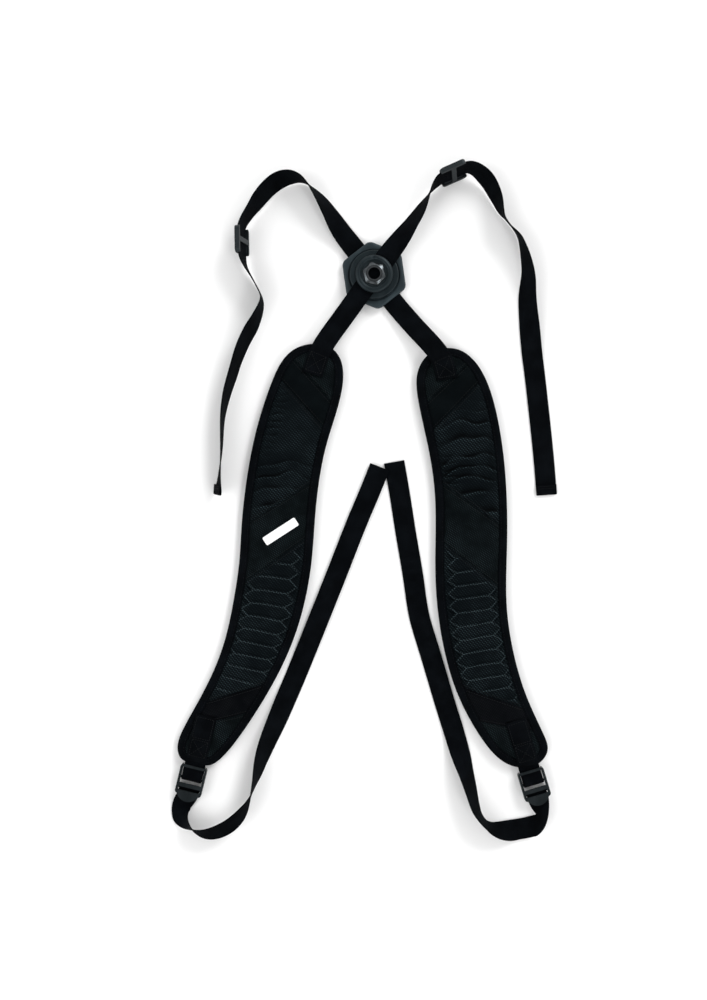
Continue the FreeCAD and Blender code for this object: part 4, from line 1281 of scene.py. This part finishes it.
# ------------------------------------------------------------------ mark on the left pad
def build_mark(place, length, width, face):
    """Plain slanting bar with rounded corners, following the pad's face."""
    half = 0.5 * width
    reach = 0.5 * length - half * 0.7
    count = 72
    angles = [2 * math.pi * k / count for k in range(count)]
    layers = ((1.0, -0.25), (1.0, 0.22), (0.985, 0.34), (0.93, 0.42), (0.6, 0.45), (0.2, 0.45))
    verts = []
    for share, lift in layers:
        for c, s in [(math.cos(angle), math.sin(angle)) for angle in angles]:
            x = (math.copysign(abs(c) ** 0.35, c) * half * 0.7 * share
                 + math.copysign(reach, c) * min(1.0, abs(c) * 6))
            y = math.copysign(abs(s) ** 0.35, s) * half * share
            verts.append(along(place, x, y) + (lift,))
    verts = np.array(verts)
    verts[:, 2] += drape(face, verts[:, :2])[0][:, 2] + 0.15
    faces = grid_faces(len(layers), count, closed_columns=True)
    faces.append(list(range(len(verts) - count, len(verts))))
    return make("pad_mark_left", verts, faces, white_film)


mark = build_mark((-113.0, -311.0, 33.0), 46.0, 11.0, SIDES["left"]["face"])
enter(mark, "front_harness", "badge", "pad_badge_left")

# ------------------------------------------------------------------ hems' bar tacks
for name, body in (("webbing_back", "back_harness"), ("webbing_front", "front_harness")):
    centres, across = webs[name]
    tangent, side, through = end_frame(centres, across)
    tacks = Threads()
    for back in (2.0, 4.6):
        middle = centres[-1] - tangent * back + through * (1.5 * WEB_THICKNESS + 0.22)
        line = np.array([middle + side * w for w in np.linspace(-11, 11, 20)])
        tacks.line(line, np.tile(through, (len(line), 1)), pitch=2.2, radius=0.28)
    enter(tacks.make("hem_stitches_" + name.split("_")[1], thread), body, "webbing")

# ------------------------------------------------------------------ hub shells
ROUND = np.radians(np.arange(0, 360, 1.25))


def hexagon_radius(apothem, corner, turn):
    """Radius of a hexagon with rounded corners in each of the round directions."""
    half = math.pi / 6
    reach = (apothem - corner) / math.cos(half)
    points = []
    for k in range(6):
        middle = math.radians(turn) + half + 2 * half * k
        for angle in np.linspace(middle - half, middle + half, 10):
            points.append((reach * math.cos(middle) + corner * math.cos(angle),
                           reach * math.sin(middle) + corner * math.sin(angle)))
    ring = np.array(points + points[:1])
    dense = np.concatenate([a + (b - a) * np.linspace(0, 1, 30, endpoint=False)[:, None]
                            for a, b in zip(ring, ring[1:])])
    angle = np.arctan2(dense[:, 1], dense[:, 0])
    return np.interp(ROUND, *zip(*sorted(zip(angle % (2 * math.pi), np.hypot(*dense.T)))),
                     period=2 * math.pi)


def shell(name, rings, material, scoop=None):
    """Closed ring of revolution: each ring is a radius, or radii, and a height.
    A scoop is the place, width and depth of a thumb hollow in its rim."""
    verts = []
    for radius, z in rings:
        radius = np.broadcast_to(radius, ROUND.shape)
        verts.append(np.column_stack([radius * np.cos(ROUND), radius * np.sin(ROUND),
                                      np.full(len(ROUND), z)]))
    verts = np.concatenate(verts)
    if scoop is not None:
        x, y, reach, depth = scoop
        near = np.clip(1 - np.hypot(verts[:, 0] - x, verts[:, 1] - y) / reach, 0, 1)
        verts[:, 2] -= np.where(verts[:, 2] > 16.2, depth * near * near * (3 - 2 * near), 0)
    faces = grid_faces(len(rings), len(ROUND), closed_rows=True, closed_columns=True, flip=True)
    return make(name, verts, faces, material)


def hub_shells():
    rim = ((1.2, 4.68), (0.45, 4.8), (0.1, 5.2), (0.02, 5.8), (0.1, 6.5), (0.4, 7.25), (0.9, 7.85),
           (1.6, 8.25), (2.6, 8.5), (3.9, 8.6))
    plate = [(9.2, 4.68)]
    plate += [(hexagon_radius(36.5 - inset, 9.0 - inset, 8.0), z) for inset, z in rim]
    plate += [(31.7, 8.62), (31.35, 8.5), (31.15, 8.2), (31.05, 7.8), (30.9, 7.5), (30.5, 7.35),
              (28.0, 7.3), (26.3, 7.3), (26.2, 7.9), (26.1, 8.6), (9.2, 8.6)]
    cap = [(9.35, 14.42), (21.9, 14.42), (22.5, 14.55), (22.75, 14.9), (22.8, 15.5), (22.7, 16.3),
           (22.35, 17.1), (21.75, 17.8), (21.0, 18.3), (20.1, 18.65), (19.2, 18.85), (18.4, 18.9),
           (17.8, 18.75), (17.3, 18.4), (16.9, 17.9), (16.65, 17.3), (16.5, 16.6), (16.4, 15.85),
           (16.0, 15.82), (9.35, 15.82)]
    flats = hexagon_radius(12.65, 0.7, 15.0)
    nut = [(9.06, 15.87), (flats - 0.3, 15.87), (flats, 16.1), (flats, 16.5), (flats - 0.25, 16.72),
           (10.3, 18.05), (10.05, 18.18), (9.6, 18.22), (9.06, 18.22)]
    return (shell("hub_plate_face", plate, hub_plastic),
            shell("hub_cap_face", cap, disc_plastic, scoop=(0.0, 18.3, 4.6, 1.3)),
            shell("hub_nut_face", nut, nut_metal))


plate, cap, nut = hub_shells()
enter(plate, "back_harness", "hub_plastic", "hub_plate")
enter(cap, "front_harness", "hub_plastic", "hub_cap")
enter(nut, "back_harness", "hub_nut", "hub_nut")
nut.modifiers.new("Crease", "EDGE_SPLIT").split_angle = math.radians(14)

# ------------------------------------------------------------------ hard parts kept from the CAD
HARD = {
    "hub_back_cover": hub_plastic, "hub_disc": disc_plastic,
    "hub_washer": washer_plastic, "hub_post": post_metal,
    "ladder_lock_left": buckle_plastic, "ladder_lock_right": buckle_plastic,
    "tri_glide_left": glide_plastic, "tri_glide_right": glide_plastic,
}
for name, material in HARD.items():
    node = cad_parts[name]
    node.data.materials.clear()
    node.data.materials.append(material)
    if name != "hub_washer":
        width, segments = (1.2, 4) if name == "hub_disc" else (0.55, 3)
        bevel = node.modifiers.new("Bevel", "BEVEL")
        bevel.width = width * MM
        bevel.segments = segments
        bevel.limit_method = "ANGLE"
        bevel.angle_limit = math.radians(35)
        bevel.harden_normals = True

# ------------------------------------------------------------------ stage, light and camera
g = Graph("floor")
floor_tone = g.mix(g.noise(0.004, 2.0), (0.90, 0.90, 0.90), (0.92, 0.92, 0.92))
floor_finish = g.finish(floor_tone, 0.7, 0.1)
FLOOR_REACH = 30000
corners = [(x * FLOOR_REACH, y * FLOOR_REACH, -0.3)
           for x, y in ((-1, -1), (1, -1), (1, 1), (-1, 1))]
floor = make("floor", corners, [[0, 1, 2, 3]], floor_finish, smooth=False)
floor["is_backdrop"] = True

world = bpy.data.worlds.new("studio")
bpy.context.scene.world = world
world.use_nodes = True
tree = world.node_tree
direction = tree.nodes.new("ShaderNodeTexCoord")
parts = tree.nodes.new("ShaderNodeSeparateXYZ")
tree.links.new(direction.outputs["Generated"], parts.inputs[0])
band = tree.nodes.new("ShaderNodeMapRange")
band.interpolation_type = "SMOOTHSTEP"
for key, value in (("From Min", 0.35), ("From Max", 0.92), ("To Min", 1.45), ("To Max", 0.35)):
    band.inputs[key].default_value = value
tree.links.new(parts.outputs[2], band.inputs["Value"])
background = tree.nodes["Background"]
tree.links.new(band.outputs["Result"], background.inputs["Strength"])
background.inputs["Color"].default_value = (1.0, 1.0, 1.0, 1.0)


def soft_sun(name, toward, strength, spread):
    data = bpy.data.lights.new(name, "SUN")
    data.energy = strength
    data.angle = math.radians(spread)
    light = bpy.data.objects.new(name, data)
    light.rotation_euler = Vector(toward).to_track_quat("Z", "Y").to_euler()
    bpy.context.scene.collection.objects.link(light)


soft_sun("key", (1.30, 1.57, 1.25), 1.7, 24)
soft_sun("fill", (-1.5, -0.6, 1.3), 0.9, 40)
soft_sun("rim", (1.1, -1.2, 1.4), 0.5, 16)

CENTRE = (-0.025, -0.273)
CAMERA_HEIGHT = 1.4
FRAME_HEIGHT = 1.22
SENSOR = 24.0
camera_data = bpy.data.cameras.new("camera")
camera_data.sensor_fit = "VERTICAL"
camera_data.sensor_height = SENSOR
camera_data.lens = SENSOR * CAMERA_HEIGHT / FRAME_HEIGHT
camera = bpy.data.objects.new("camera", camera_data)
camera.location = (*CENTRE, CAMERA_HEIGHT)
bpy.context.scene.collection.objects.link(camera)
bpy.context.scene.camera = camera
bpy.context.scene.view_settings.view_transform = "Standard"

boxes = {"cad": cad_box, "visual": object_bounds()}
{key: [list(corner) for corner in box] for key, box in boxes.items()}
